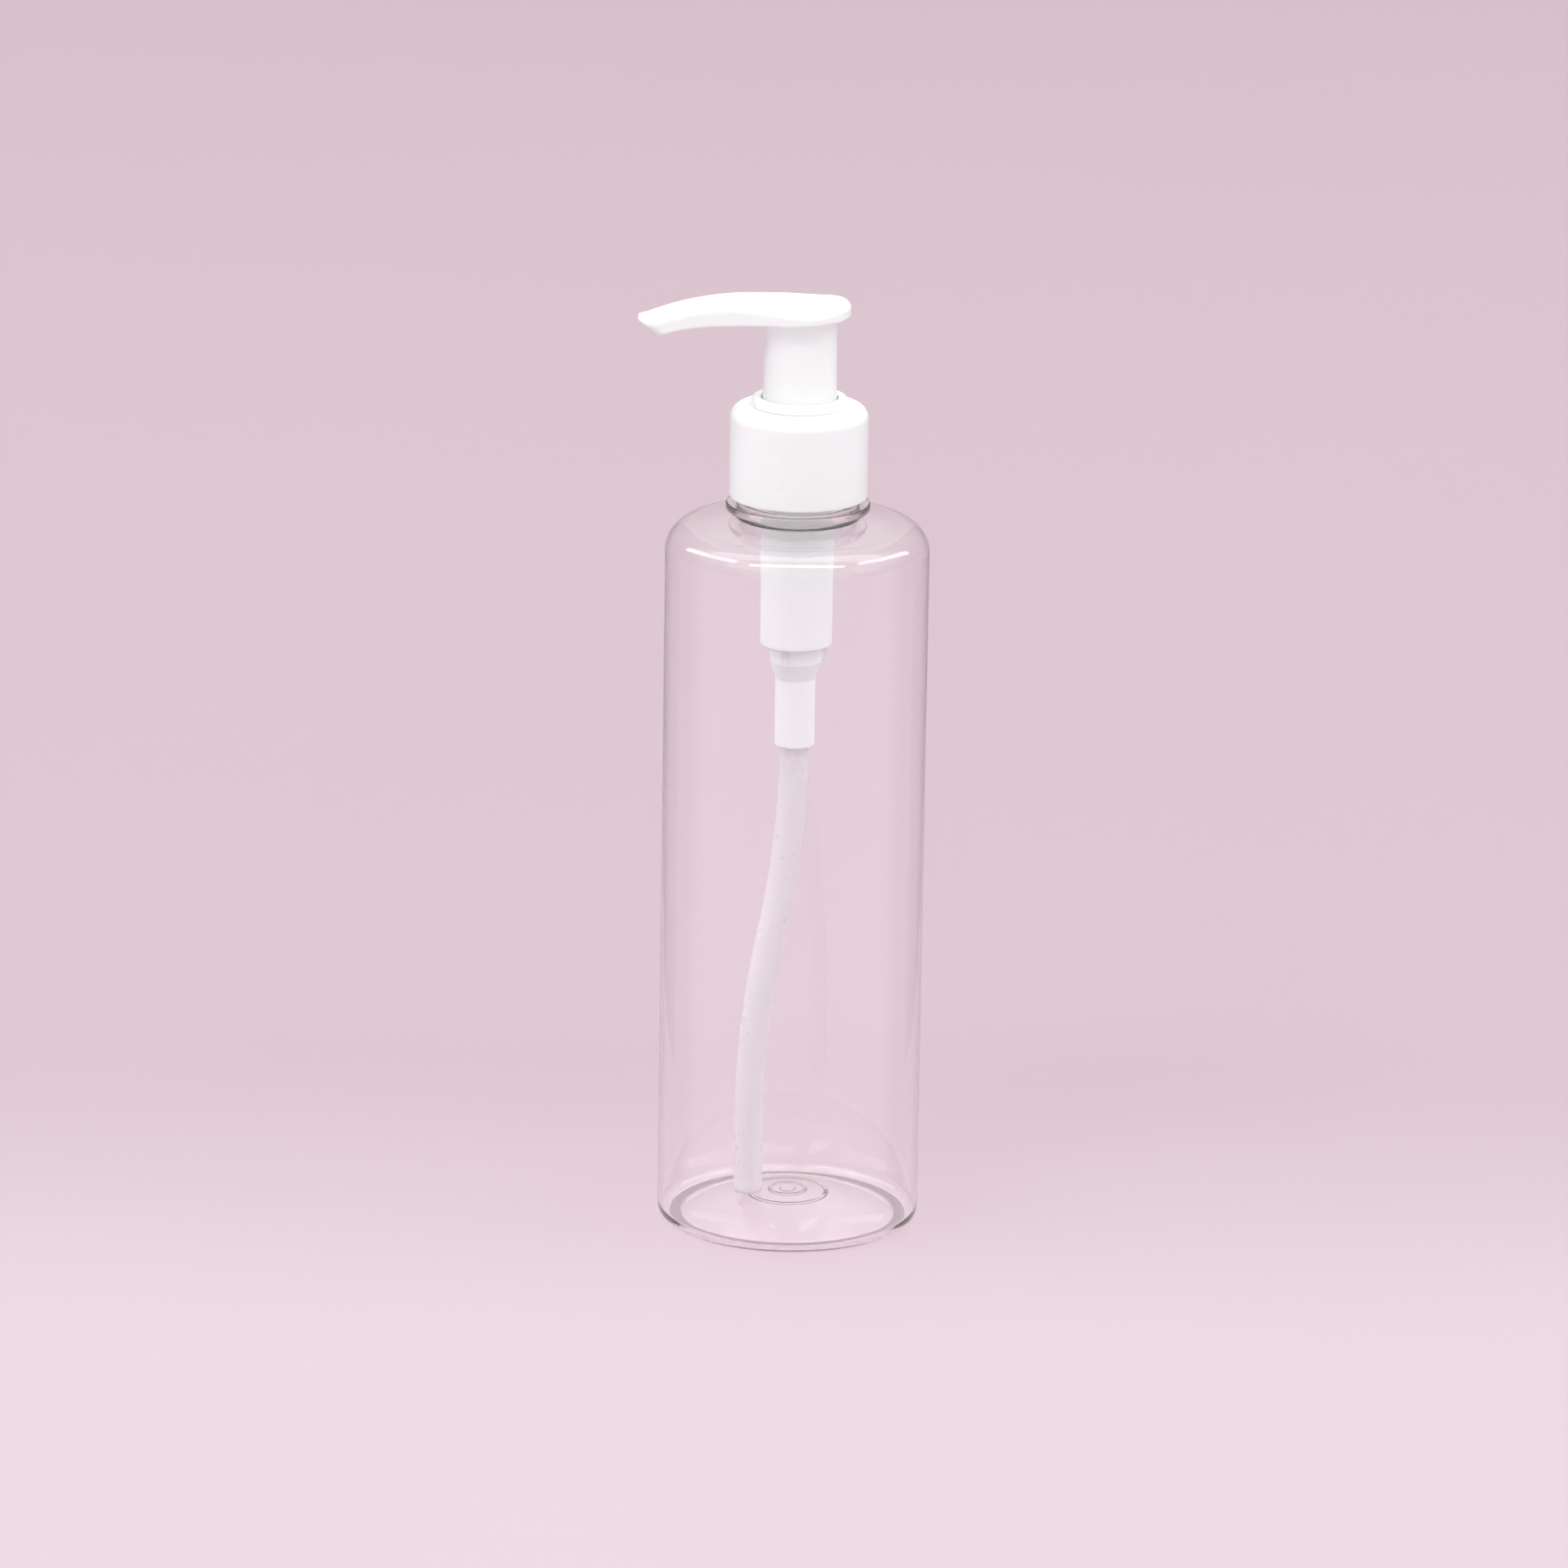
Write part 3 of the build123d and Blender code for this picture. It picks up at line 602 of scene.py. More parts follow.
def makeClosure():
    low, high = lowCorner("closure"), highCorner("closure")
    outR, top = high.x, high.z
    bore, plateBore = closure["bore"], closure["plateBore"]
    plateLow = top - closure["plate"]
    firstZ = highCorner("bottle").z - bottle["threadFirst"] + closure["threadFirst"]
    outside = softPath([
        (bore, low.z + 0.6), (bore, low.z, 0.15), (outR, low.z, closure["lowEdge"]),
        (outR, top - closure["crown"], closure["topEdge"]), (plateBore, top, 0.15),
        (plateBore, plateLow, 0.1), (bore, plateLow, 0.5), (bore, plateLow - 0.9)], arcStep=7)
    wall = [Vector((bore, plateLow - 1.0 - closure["wallStep"] * k))
            for k in range(closure["wallRows"])]

    def ridgeAt(angle, r, z):
        if abs(r - bore) > 1e-4 or z > plateLow - 0.95:
            return 0.0
        return -threadHeight(angle, z, firstZ, math.pi, bottle["threadPitch"], bottle["threadTurns"],
                             closure["threadCrest"], closure["threadRoot"], closure["threadDepth"])

    wall = [p for p in wall if p.y > low.z + 0.7]
    made = turned("screwClosure", outside + wall, closed=True, around=176, reshape=ridgeAt)
    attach(made, "closure")
    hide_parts("closure")
    dress(made, whiteMoulding)


makeClosure()

collar = {
    "well": 8.3, "wellBore": 7.5, "guide": 3.86, "floor": 1.3,
    "bead": 0.3, "beadHalf": 0.5, "beadDrop": 4.0,
    "rise": 1.7, "outerEdge": 0.9, "innerEdge": 0.35,
}


def makeLockCollar():
    low, high = lowCorner("lock_collar"), highCorner("lock_collar")
    well, half = collar["well"], collar["beadHalf"]
    guide, floorZ = collar["guide"], low.z + collar["floor"]
    beadZ = highCorner("housing").z - collar["beadDrop"]
    under = high.z - collar["rise"]
    made = turned("lockCollar", softPath([
        (guide, low.z), (well, low.z, 0.3), (well, beadZ - half, 0.2),
        (well + collar["bead"], beadZ, 0.2), (well, beadZ + half, 0.2), (well, under, 0.05),
        (high.x, under, 0.15), (high.x, high.z, collar["outerEdge"]),
        (collar["wellBore"], high.z, collar["innerEdge"]), (collar["wellBore"], floorZ, 0.3),
        (guide, floorZ, 0.15)], closed=True, arcStep=9), closed=True)
    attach(made, "pump")
    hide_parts("lock_collar")
    dress(made, whiteMoulding)


makeLockCollar()
print("closure and collar turned")

housing = {
    "flange": 1.2, "cup": 9.1, "cupBore": 8.35, "cupFloor": 1.0, "chamber": 7.1, "chamberBore": 6.2,
    "chamberLow": 7.0, "chamberFloor": 0.8, "ballHouse": 5.05, "ballHouseLength": 3.2,
    "ballHouseBore": 3.15, "inletBore": 1.5, "inlet": 3.9, "inletLength": 13.6, "tubeSocket": 2.85,
    "socketDepth": 13.36, "seatZ": 15.16, "lugs": 3, "lugHeading": 8.0, "lugReach": 1.0,
    "lugThickness": 1.5, "lugOverlap": 0.2, "lugEdge": 0.25, "vent": 0.5, "ventDrop": 3.0,
}


def makeHousing():
    low, high = lowCorner("housing"), highCorner("housing")
    cupBore, ballBore = housing["cupBore"], housing["ballHouseBore"]
    socketR, seatBore = housing["tubeSocket"], housing["inletBore"]
    cupFloorZ = lowCorner("lock_collar").z - seatGap
    cupLow = cupFloorZ - housing["cupFloor"]
    flangeLow = high.z - housing["flange"]
    chamberFloorZ = lowCorner("ball_cage").z
    chamberLow = chamberFloorZ - housing["chamberFloor"]
    ballLow = chamberLow - housing["ballHouseLength"]
    bead, beadHalf = collar["bead"], collar["beadHalf"]
    beadZ = high.z - collar["beadDrop"]
    inletTop = low.z + housing["inletLength"]
    seatZ = low.z + housing["seatZ"]
    socketTop = low.z + housing["socketDepth"]
    made = turned("pumpHousing", softPath([
        (socketR, low.z, 0.25), (housing["inlet"], low.z, 0.35),
        (housing["inlet"], inletTop, 0.4), (housing["ballHouse"], ballLow, 0.3),
        (housing["ballHouse"], chamberLow, 0.25), (housing["chamberLow"], chamberLow, 0.6),
        (housing["chamber"], cupLow - housing["cup"] + housing["chamber"], 0.5),
        (housing["cup"], cupLow, 0.5), (housing["cup"], flangeLow, 0.2), (high.x, flangeLow, 0.15),
        (high.x, high.z, 0.2), (cupBore, high.z, 0.15), (cupBore, beadZ + beadHalf, 0.1),
        (cupBore + bead, beadZ, 0.1), (cupBore, beadZ - beadHalf, 0.1),
        (cupBore, cupFloorZ, 0.3), (housing["chamberBore"], cupFloorZ, 0.2),
        (housing["chamberBore"], chamberFloorZ, 0.1), (ballBore, chamberFloorZ, 0.1),
        (ballBore, seatZ + ballBore - seatBore, 0.2), (seatBore, seatZ, 0.1),
        (seatBore, socketTop, 0.1), (socketR, socketTop, 0.1)], closed=True, arcStep=10),
        closed=True, around=144)
    lug = Vector((2 * housing["lugReach"], housing["lugThickness"],
                  housing["ballHouseLength"] + 2 * housing["lugOverlap"]))
    lugZ = chamberLow - housing["ballHouseLength"] / 2 + housing["lugOverlap"]
    for n in range(housing["lugs"]):
        heading = math.radians(housing["lugHeading"] + n * 360 / housing["lugs"])
        bm = bmesh.new()
        bmesh.ops.create_cube(bm, size=1.0)
        bmesh.ops.scale(bm, vec=lug * mm, verts=bm.verts)
        bmesh.ops.bevel(bm, geom=bm.edges[:], offset=housing["lugEdge"] * mm, segments=3,
                        affect="EDGES", profile=0.5)
        bmesh.ops.translate(bm, verts=bm.verts, vec=Vector((housing["ballHouse"], 0, lugZ)) * mm)
        bmesh.ops.rotate(bm, verts=bm.verts, cent=(0, 0, 0), matrix=Matrix.Rotation(heading, 3, "Z"))
        cutOrJoin(made, meshObject("lug", bm), "UNION")
    bm = bmesh.new()
    bmesh.ops.create_cone(bm, segments=24, radius1=housing["vent"] * mm, radius2=housing["vent"] * mm,
                          depth=3 * mm, cap_ends=True)
    bmesh.ops.rotate(bm, verts=bm.verts, cent=(0, 0, 0), matrix=Matrix.Rotation(math.pi / 2, 3, "X"))
    bmesh.ops.translate(bm, verts=bm.verts, vec=Vector(
        (0, housing["chamber"], highCorner("piston").z - housing["ventDrop"])) * mm)
    cutOrJoin(made, meshObject("ventDrill", bm), "DIFFERENCE")
    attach(made, "pump")
    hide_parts("housing")
    dress(made, milkyMoulding)


makeHousing()
print("pump housing moulded")

spring = {"stroke": 13.0, "wire": 0.8, "coilRadius": 4.9, "closedTurns": 1.0,
          "activeTurns": 6.5, "ground": 0.12, "turnSteps": 40, "closedGap": 0.02, "endEase": 0.015}


def makeSpring():
    low = lowCorner("return_spring").z
    top = highCorner("return_spring").z
    wire = spring["wire"]
    total = spring["activeTurns"] + 2 * spring["closedTurns"]
    free = top - low - wire - 2 * spring["closedTurns"] * (wire + spring["closedGap"])
    centres = []
    steps = int(total * spring["turnSteps"])
    for k in range(steps + 1):
        turn = total * k / steps
        closedLow = min(turn, spring["closedTurns"])
        closedHigh = max(turn - total + spring["closedTurns"], 0)
        active = turn - closedLow - closedHigh
        share = active / spring["activeTurns"]
        soft = share - spring["endEase"] * math.sin(2 * math.pi * share)
        z = low + wire / 2 + (closedLow + closedHigh) * (wire + spring["closedGap"]) + free * soft
        angle = 2 * math.pi * turn
        centres.append(Vector((spring["coilRadius"] * math.cos(angle),
                               spring["coilRadius"] * math.sin(angle), z)))
    made = swept("returnSpring", centres, lambda i: circleSection(wire / 2, 14))
    groundLow, groundTop = (low + spring["ground"]) * mm, (top - spring["ground"]) * mm
    for vertex in made.data.vertices:
        vertex.co.z = min(max(vertex.co.z, groundLow), groundTop)
    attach(made, "pump")
    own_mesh(made)
    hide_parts("return_spring")
    dress(made, springWire)


makeSpring()

dipTube = {"bore": 2.1, "radius": 2.8, "lean": 8.4, "heading": 201.0, "lowerStraight": 21.0,
           "around": 40, "along": 150, "edge": 0.12}


def makeDipTube():
    low, high = lowCorner("dip_tube"), highCorner("dip_tube")
    exitZ = lowCorner("housing").z
    heading = math.radians(dipTube["heading"])
    height = exitZ - dipTube["lowerStraight"]
    turn = 2 * math.atan(dipTube["lean"] / height)
    bendR = height / (2 * math.sin(turn))
    midZ = exitZ - height / 2

    def leanAt(z):
        if z >= exitZ:
            return 0.0
        if z <= dipTube["lowerStraight"]:
            return dipTube["lean"]
        if z > midZ:
            return bendR - math.sqrt(bendR ** 2 - (exitZ - z) ** 2)
        return dipTube["lean"] - bendR + math.sqrt(bendR ** 2 - (z - dipTube["lowerStraight"]) ** 2)

    along = dipTube["along"]
    heights = [high.z - k * (high.z - low.z) / along for k in range(along + 1)]
    centres = [Vector((leanAt(z) * math.cos(heading), leanAt(z) * math.sin(heading), z))
               for z in heights]
    outer, inner = dipTube["radius"], dipTube["bore"]
    bm = bmesh.new()
    rings = []

    def ring(i, radius):
        ahead = (centres[min(i + 1, along)] - centres[max(i - 1, 0)]).normalized()
        side = (Vector((0, 1, 0)) - ahead * ahead.y).normalized()
        up = ahead.cross(side)
        return [bm.verts.new((centres[i] + (side * a + up * b) * radius) * mm)
                for a, b in circleSection(1, dipTube["around"])]

    def endEdge(i):
        return dipTube["edge"] if i in (0, along) else 0

    for i in range(along + 1):
        rings.append(ring(i, outer - endEdge(i)))
    for i in range(along, -1, -1):
        rings.append(ring(i, inner + endEdge(i)))
    for upper, lower in list(zip(rings, rings[1:])) + [(rings[-1], rings[0])]:
        bridge(bm, upper, lower)
    made = meshObject("dipTube", bm)
    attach(made, "pump")
    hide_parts("dip_tube")
    dress(made, tubePlastic)


makeDipTube()
print("spring and dip tube made")

head = {
    "padRadius": 9.7, "padTurn": 112, "tipHalf": 4.6, "tipCorner": 3.2, "tip": -31.7,
    "halfWidths": ((-31.7, 4.6), (-26, 4.72), (-20, 5.0), (-16, 5.3), (-13, 5.7), (-10.5, 6.2),
                   (-8.2, 6.95), (-6, 7.85), (-3.63, 8.99)),
    "top": ((-31.7, 182.45), (-29.5, 183.1), (-27.6, 183.72), (-25.8, 184.3), (-23.9, 184.85),
            (-22, 185.32), (-20.1, 185.7), (-18.3, 186.02), (-16.4, 186.28), (-14.5, 186.46),
            (-11.7, 186.58), (-9.5, 186.5), (-7, 186.25), (-5.1, 185.92), (-2.3, 185.5),
            (0.6, 185.3), (3.4, 185.35), (6.2, 185.7), (8.1, 185.95), (9.7, 185.9)),
    "under": ((-28, 179.15), (-26.5, 179.78), (-24.65, 180.4), (-22.8, 180.82), (-20.9, 181.15),
              (-19, 181.4), (-17.15, 181.6), (-14.3, 181.82), (-10.6, 182.08), (-7.8, 182.35),
              (-4.65, 182.62), (0, 182.88), (3, 183.0), (7.2, 183.15), (9.7, 183.15)),
    "padEdge": (1.2, 1.1), "spoutEdge": (2.0, 1.6), "tipEdge": (2.5, 1.6), "endEdge": (0.5, 0.45),
    "underEdge": 0.45, "endSlope": 3.75, "dish": 0.5, "crown": 0.25,
    "column": 7.0, "columnLow": 7.2, "columnWall": 1.3, "socket": 4.85, "socketBore": 3.85,
    "socketLength": 12.0, "web": 1.8,
    "channelHalf": 2.1, "channelTop": 1.1, "mouth": (-29.8, 180.75), "mouthHalf": 0.8,
    "tipHeight": 3.3, "slopeFrom": 24.5, "spineEnd": -27.5, "edgeShare": 0.55, "outlineRows": 92,
    "channelStart": 1.2, "channelLength": 35.0, "channelRows": 33, "channelLast": -25,
    "channelLeast": 0.35, "mouthSlope": 0.33, "channelSquareness": 0.6, "passage": 1.6,
}


def headOutline():
    # half of the outline from the back of the pad round to the tip, evenly spaced
    widthAt = lineThrough(head["halfWidths"])
    pad = head["padRadius"]
    raw = []
    for k in range(57):
        angle = math.radians(head["padTurn"] * k / 56)
        raw.append(Vector((pad * math.cos(angle), pad * math.sin(angle))))
    x = raw[-1].x - 0.4
    corner = head["tipCorner"]
    while x > head["tip"] + corner:
        raw.append(Vector((x, widthAt(x))))
        x -= 0.4
    for k in range(9):
        angle = math.radians(90 + 90 * k / 8)
        raw.append(Vector((head["tip"] + corner + corner * math.cos(angle),
                           head["tipHalf"] - corner + corner * math.sin(angle))))
    raw.append(Vector((head["tip"], 0)))
    lengths = [0.0]
    for a, b in zip(raw, raw[1:]):
        lengths.append(lengths[-1] + (b - a).length)
    count = head["outlineRows"]
    even = []
    j = 0
    for k in range(count + 1):
        want = lengths[-1] * k / count
        while j < len(raw) - 2 and lengths[j + 1] < want:
            j += 1
        share = (want - lengths[j]) / max(lengths[j + 1] - lengths[j], 1e-9)
        even.append(raw[j].lerp(raw[j + 1], min(share, 1)))
    return even


def blendShare(x, start, end):
    t = min(max((x - start) / (end - start), 0), 1)
    return t * t * (3 - 2 * t)


def headShell():
    topAt, underAt, widthAt = (lineThrough(head[key]) for key in ("top", "under", "halfWidths"))
    half = headOutline()
    loop = half + [Vector((p.x, -p.y)) for p in reversed(half[1:-1])]

    def topZ(x, y):
        across = abs(y) / (head["padRadius"] if x > -3.6 else widthAt(x))
        dish = blendShare(x, -9, -1) * blendShare(-math.hypot(x, y), -8.6, -1.5)
        crown = head["crown"] * across ** 2 * blendShare(-x, 2, 10)
        return topAt(x) - head["dish"] * dish - crown

    def spineOf(p):
        return Vector((min(max(p.x, head["spineEnd"]), 0.0), 0.0))

    def edgeOf(x):
        # how wide and how deep the rounding along the upper edge is
        side, up = head["spoutEdge"]
        for other, place, span in (("padEdge", x, (-9, -2)), ("tipEdge", -x, (20, 30)),
                                   ("endEdge", -x, (30.9, 31.6))):
            share = blendShare(place, *span)
            side += (head[other][0] - side) * share
            up += (head[other][1] - up) * share
        return side, up

    def slopeBack(x, drop):
        # the spout's end face leans back from its top corner
        share = blendShare(-x, head["slopeFrom"], -head["tip"])
        return share * head["endSlope"] / head["tipHeight"] * drop

    def lowZ(p):
        zTop = topZ(p.x, p.y)
        z = underAt(p.x)
        for _ in range(8):
            z = underAt(p.x + slopeBack(p.x, zTop - z))
        return z

    def edgeSide(reach, p):
        return min(edgeOf(p.x)[0], head["edgeShare"] * reach)

    rows = []
    inset = [0.06, 0.13, 0.22, 0.34, 0.48, 0.64, 0.82, 1.0]
    under = head["underEdge"]

    def rowOf(inFrom, level):
        # one ring of points: how far in from the outline, and how high
        row = []
        for p in loop:
            spine = spineOf(p)
            reach = (spine - p).length
            q = p.lerp(spine, min(inFrom(reach, p) / reach, 1.0)) if reach > 1e-9 else p
            zTop = topZ(q.x, q.y)
            z = level(zTop, lowZ(q), p)
            row.append(Vector((q.x + slopeBack(q.x, zTop - z), q.y, z)))
        return row

    for t in reversed(inset):
        rows.append(rowOf(lambda reach, p, t=t: under + (reach - under) * t, lambda zT, zL, p: zL))
    for k in range(5):
        a = math.radians(90 * k / 4)
        rows.append(rowOf(lambda reach, p, a=a: under * (1 - math.sin(a)),
                          lambda zT, zL, p, a=a: zL + under * (1 - math.cos(a))))
    for share in (0.12, 0.5, 0.88):
        rows.append(rowOf(lambda reach, p: 0.0,
                          lambda zT, zL, p, share=share: zL + under
                          + (zT - edgeOf(p.x)[1] - zL - under) * share))
    for k in range(9):
        a = math.radians(90 * k / 8)
        rows.append(rowOf(lambda reach, p, a=a: edgeSide(reach, p) * (1 - math.cos(a)),
                          lambda zT, zL, p, a=a: zT - edgeOf(p.x)[1] * (1 - math.sin(a))))
    for t in inset:
        rows.append(rowOf(
            lambda reach, p, t=t: edgeSide(reach, p) + (reach - edgeSide(reach, p)) * t,
            lambda zT, zL, p: zT))
    bm = bmesh.new()
    rings = [[bm.verts.new(point * mm) for point in row] for row in rows]
    for below, above in zip(rings, rings[1:]):
        bridge(bm, below, above)
    bmesh.ops.remove_doubles(bm, verts=bm.verts, dist=0.004 * mm)
    bmesh.ops.dissolve_degenerate(bm, edges=bm.edges, dist=0.002 * mm)
    return meshObject("pumpHead", bm)


def makeHead():
    low, high = lowCorner("head"), highCorner("head")
    made = headShell()
    webZ = highCorner("stem").z + seatGap
    faceZ = webZ + head["web"]
    socketLow = faceZ - head["socketLength"]
    wall = head["columnWall"]
    column = turned("column", softPath([
        (0, faceZ + 0.9), (head["column"], faceZ + 0.9, 0.05), (head["columnLow"], low.z, 0.25),
        (head["columnLow"] - wall, low.z, 0.25),
        (head["column"] - wall, webZ, 0.4), (head["socket"], webZ, 0.3),
        (head["socket"], socketLow, 0.2),
        (head["socketBore"], socketLow, 0.2),
        (head["socketBore"], webZ, 0.1), (0, webZ)], arcStep=12), around=144)
    cutOrJoin(made, column, "UNION")
    # soap passage from the stem to the end of the spout
    topAt, underAt = lineThrough(head["top"]), lineThrough(head["under"])
    mouthX, mouthZ = head["mouth"]
    centres = []
    halves = []
    for k in range(head["channelRows"] + 1):
        x = head["channelStart"] - head["channelLength"] * k / head["channelRows"]
        roof = topAt(max(x, head["channelLast"])) - head["channelTop"]
        base = underAt(max(x, head["channelLast"])) + head["channelTop"]
        tipShare = blendShare(-x, 20, 27)
        endZ = mouthZ - head["mouthSlope"] * (mouthX - x)
        centres.append(Vector((x, 0, (roof + base) / 2 * (1 - tipShare) + endZ * tipShare)))
        halves.append(max((roof - base) / 2, head["channelLeast"]) * (1 - tipShare)
                      + head["mouthHalf"] * tipShare)

    def channelSection(i):
        # a rounded square, softer than a circle's
        square = head["channelSquareness"]
        return [(head["channelHalf"] * math.copysign(abs(c) ** square, c),
                 halves[i] * math.copysign(abs(s) ** square, s)) for c, s in circleSection(1, 28)]

    cutOrJoin(made, swept("channel", centres, channelSection), "DIFFERENCE")
    passage = turned("passage", [Vector(corner) for corner in (
        (0, webZ - 0.5), (head["passage"], webZ - 0.5), (head["passage"], faceZ + 0.8),
        (0, faceZ + 0.8))], around=40)
    cutOrJoin(made, passage, "DIFFERENCE")
    for face in made.data.polygons:
        face.use_smooth = True
    made.data.set_sharp_from_angle(angle=math.radians(40))
    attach(made, "head")
    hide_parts("head")
    dress(made, whiteMoulding)


makeHead()
print("pump head sculpted")

keptPieces = {
    "neck_gasket": softSeal, "piston": softSeal, "ball_cage": milkyMoulding, "valve_rod": milkyMoulding,
    "stem": milkyMoulding, "inlet_ball": ballGlass, "outlet_ball": ballGlass,
}
for nodeName, material in keptPieces.items():
    dress(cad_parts[nodeName], material)
print("inner pieces finished")

studio = {
    "flagX": 0.11, "flagFront": 0.045, "flagBack": 0.4, "flagHigh": 0.3,
    "flagGlowColour": (0.4, 0.31, 0.35, 1), "flagGlowWeave": (0.46, 0.37, 0.4, 1),
    # the floor colours are painted light and shade: lighter near the bottle, darker further back
    "floorSize": 6.0, "floorNearPaintedLight": (0.51, 0.422, 0.462, 1), "floorFarPaintedShade": (0.445, 0.354, 0.393, 1),
    "floorBlotch": (0.42, 0.33, 0.37, 1), "floorBackPaintedShade": (0.475, 0.368, 0.412, 1),
    "fade": (-0.08, 0.1), "back": (0.3, 1.3),
    "worldUp": (0.97, 0.98, 0.97, 1), "worldFront": (1.0, 1.0, 0.99, 1),
    "worldBack": (0.78, 0.64, 0.7, 1), "worldSides": (0.6, 0.49, 0.54, 1), "worldStrength": 0.78,
    "frontSpan": (0.5, -0.5), "sideSpan": (0.6, 0.92), "upSpan": (0.15, 0.6),
    "grainScale": 900.0, "grainDetail": 4.0, "grain": 0.08, "grainDepth": 0.0002,
    "blotchScale": 6.0, "blotchSpan": (0.3, 0.7), "blotchShare": 0.06,
    "paperRough": 0.85, "paperShine": 0.2, "weaveScale": 300.0,
}


def makeFloor():
    bm = bmesh.new()
    bmesh.ops.create_grid(bm, x_segments=24, y_segments=24, size=studio["floorSize"] / 2)
    floor = meshObject("paperFloor", bm)
    made, tree = newMaterial("pinkPaperPaintedFalloff")
    place = node(tree, "ShaderNodeTexCoord").outputs["Object"]
    across = node(tree, "ShaderNodeSeparateXYZ", {"Vector": place})
    depth = across.outputs["Y"]
    # painted light and shade: the paper is coloured lighter in front and darker behind, standing for
    # how the light falls off
    fade = mapped(tree, depth, studio["fade"], smooth=True)
    back = mapped(tree, depth, studio["back"])
    distantPaintedShade = mixColours(tree, back, studio["floorFarPaintedShade"], studio["floorBackPaintedShade"])
    base = mixColours(tree, fade, studio["floorNearPaintedLight"], distantPaintedShade)
    blotch = noise(tree, place, studio["blotchScale"])
    soft = mapped(tree, blotch, studio["blotchSpan"], (0.0, studio["blotchShare"]))
    tint = mixColours(tree, soft, base, studio["floorBlotch"])
    grain = bumped(tree, noise(tree, place, studio["grainScale"], studio["grainDetail"]),
                   studio["grain"], studio["grainDepth"])
    shader = node(tree, "ShaderNodeBsdfPrincipled", {
        "Base Color": tint, "Roughness": studio["paperRough"], "Normal": grain,
        "Specular IOR Level": studio["paperShine"]})
    showMaterial(tree, shader, studio)
    dress(floor, made)


def makeFlags():
    # two dark cards beside the bottle, seen only as reflections in glossy pieces; they glow with their
    # own dark colour though they are no lamps, a painted reflection
    made, tree = newMaterial("glowingFlagCard")
    place = node(tree, "ShaderNodeTexCoord").outputs["Object"]
    weave = noise(tree, place, studio["weaveScale"])
    tint = mixColours(tree, weave, studio["flagGlowColour"], studio["flagGlowWeave"])
    # painted reflection: the card glows with a fixed dark colour
    glow = node(tree, "ShaderNodeEmission", {"Color": tint, "Strength": 1.0})
    out = node(tree, "ShaderNodeOutputMaterial")
    tree.links.new(glow.outputs["Emission"], out.inputs["Surface"])
    for name, side in (("flagLeft", -1), ("flagRight", 1)):
        bm = bmesh.new()
        corners = [(side * studio["flagX"], y, z) for y, z in (
            (studio["flagFront"], 0), (studio["flagBack"], 0),
            (studio["flagBack"], studio["flagHigh"]), (studio["flagFront"], studio["flagHigh"]))]
        bm.faces.new([bm.verts.new(corner) for corner in corners])
        card = meshObject(name, bm)
        card.visible_camera = False
        card.visible_diffuse = False
        card.visible_transmission = False
        card.visible_shadow = False
        dress(card, made)


def makePanel(name, look):
    # a soft lamp that faces its aim; roll turns it about that line
    light = bpy.data.lights.new(name, "AREA")
    light.shape = "RECTANGLE"
    light.size, light.size_y = look["size"]
    light.energy = look["power"]
    light.color = look["colour"]
    made = bpy.data.objects.new(name, light)
    bpy.context.scene.collection.objects.link(made)
    made.visible_glossy = look["inGloss"]
    made.location = look["place"]
    facing = (Vector(look["aim"]) - Vector(look["place"])).to_track_quat("-Z", "Y").to_matrix()
    turn = Matrix.Rotation(math.radians(look["roll"]), 3, "Z")
    made.rotation_euler = (facing @ turn).to_euler()


def makeWorld():
    world = bpy.data.worlds.new("studioRoom")
    bpy.context.scene.world = world
    world.use_nodes = True
    tree = world.node_tree
    tree.nodes.clear()
    place = node(tree, "ShaderNodeTexCoord").outputs["Generated"]
    parts = node(tree, "ShaderNodeSeparateXYZ", {"Vector": place})
    ahead = mapped(tree, parts.outputs["Y"], studio["frontSpan"], smooth=True)
    aside = reckoned(tree, "ABSOLUTE", parts.outputs["X"])
    sides = mapped(tree, aside, studio["sideSpan"], smooth=True)
    rise = mapped(tree, parts.outputs["Z"], studio["upSpan"], smooth=True)
    room = mixColours(tree, ahead, studio["worldBack"], studio["worldFront"])
    flanked = mixColours(tree, sides, room, studio["worldSides"])
    colour = mixColours(tree, rise, flanked, studio["worldUp"])
    shader = node(tree, "ShaderNodeBackground", {"Color": colour, "Strength": studio["worldStrength"]})
    out = node(tree, "ShaderNodeOutputWorld")
    tree.links.new(shader.outputs["Background"], out.inputs["Surface"])


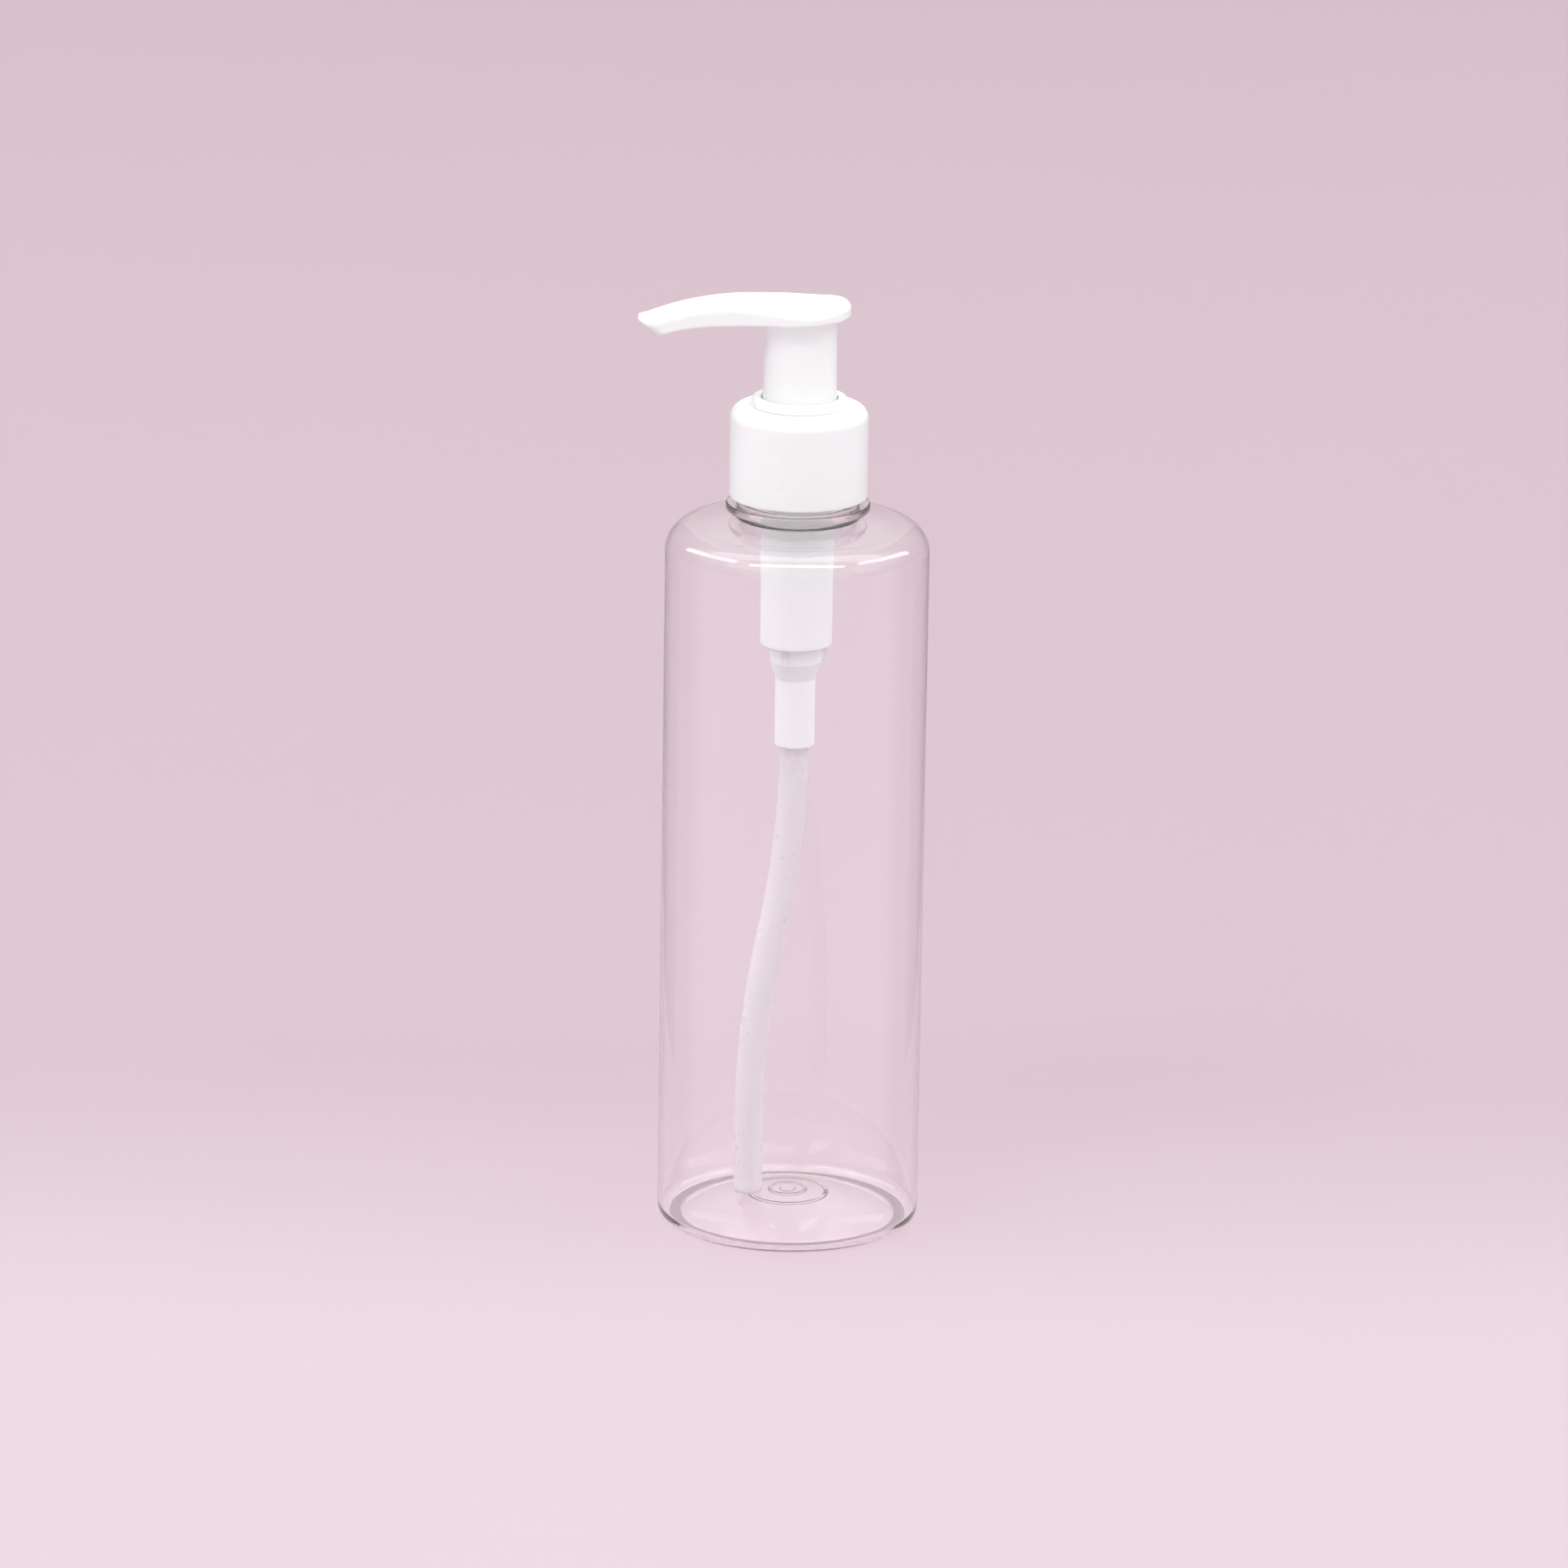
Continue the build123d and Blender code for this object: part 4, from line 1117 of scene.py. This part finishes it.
panels = {
    "keyPanel": {"place": (-1.6, -1.3, 2.1), "aim": (0, 0.1, 0.1), "size": (2.0, 1.5), "roll": 0,
                 "power": 11.0, "colour": (0.99, 1, 1), "inGloss": False},
    "topPanel": {"place": (0.0, 0.35, 2.5), "aim": (0, 0.2, 0.1), "size": (4.6, 1.3), "roll": 0,
                 "power": 45.0, "colour": (1, 1, 1), "inGloss": False},
    "fillPanel": {"place": (2.2, -0.9, 1.2), "aim": (0, 0.1, 0.1), "size": (1.2, 1.6), "roll": 0,
                  "power": 4.0, "colour": (0.99, 1, 1), "inGloss": False},
    "archTop": {"place": (0.0, -1.22, 2.21), "aim": (0, 0, 0.14), "size": (3.2, 0.35), "roll": 0,
                "power": 19.0, "colour": (1, 1, 1), "inGloss": True},
    "archLeft": {"place": (-1.9, 0.41, 1.56), "aim": (0, 0, 0.14), "size": (2.3, 0.45), "roll": 32,
                 "power": 9.0, "colour": (1, 1, 1), "inGloss": True},
    "archRight": {"place": (1.9, 0.41, 1.56), "aim": (0, 0, 0.14), "size": (2.3, 0.45), "roll": -32,
                  "power": 9.0, "colour": (1, 1, 1), "inGloss": True},
}

camera = {
    "place": (-0.001898, -1.77632, 0.61973), "down": 16.645, "roll": 0.8786, "lens": 217.4,
    "sensor": 36.0, "clip": (0.05, 30),
}


def makeCamera():
    data = bpy.data.cameras.new("camera")
    data.lens = camera["lens"]
    data.sensor_width = camera["sensor"]
    data.clip_start, data.clip_end = camera["clip"]
    made = bpy.data.objects.new("camera", data)
    bpy.context.scene.collection.objects.link(made)
    down, roll = math.radians(camera["down"]), math.radians(camera["roll"])
    ahead = Vector((0, math.cos(down), -math.sin(down)))
    right = Vector((1, 0, 0))
    up = Vector((0, math.sin(down), math.cos(down)))
    cameraX = right * math.cos(roll) + up * math.sin(roll)
    cameraY = up * math.cos(roll) - right * math.sin(roll)
    turn = Matrix((cameraX, cameraY, -ahead)).transposed().to_4x4()
    made.matrix_world = Matrix.Translation(camera["place"]) @ turn
    bpy.context.scene.camera = made


makeFloor()
makeWorld()
for panelName, panelLook in panels.items():
    makePanel(panelName, panelLook)
makeFlags()
makeCamera()
bpy.context.scene.view_settings.view_transform = "Standard"
print("floor, light and camera set")
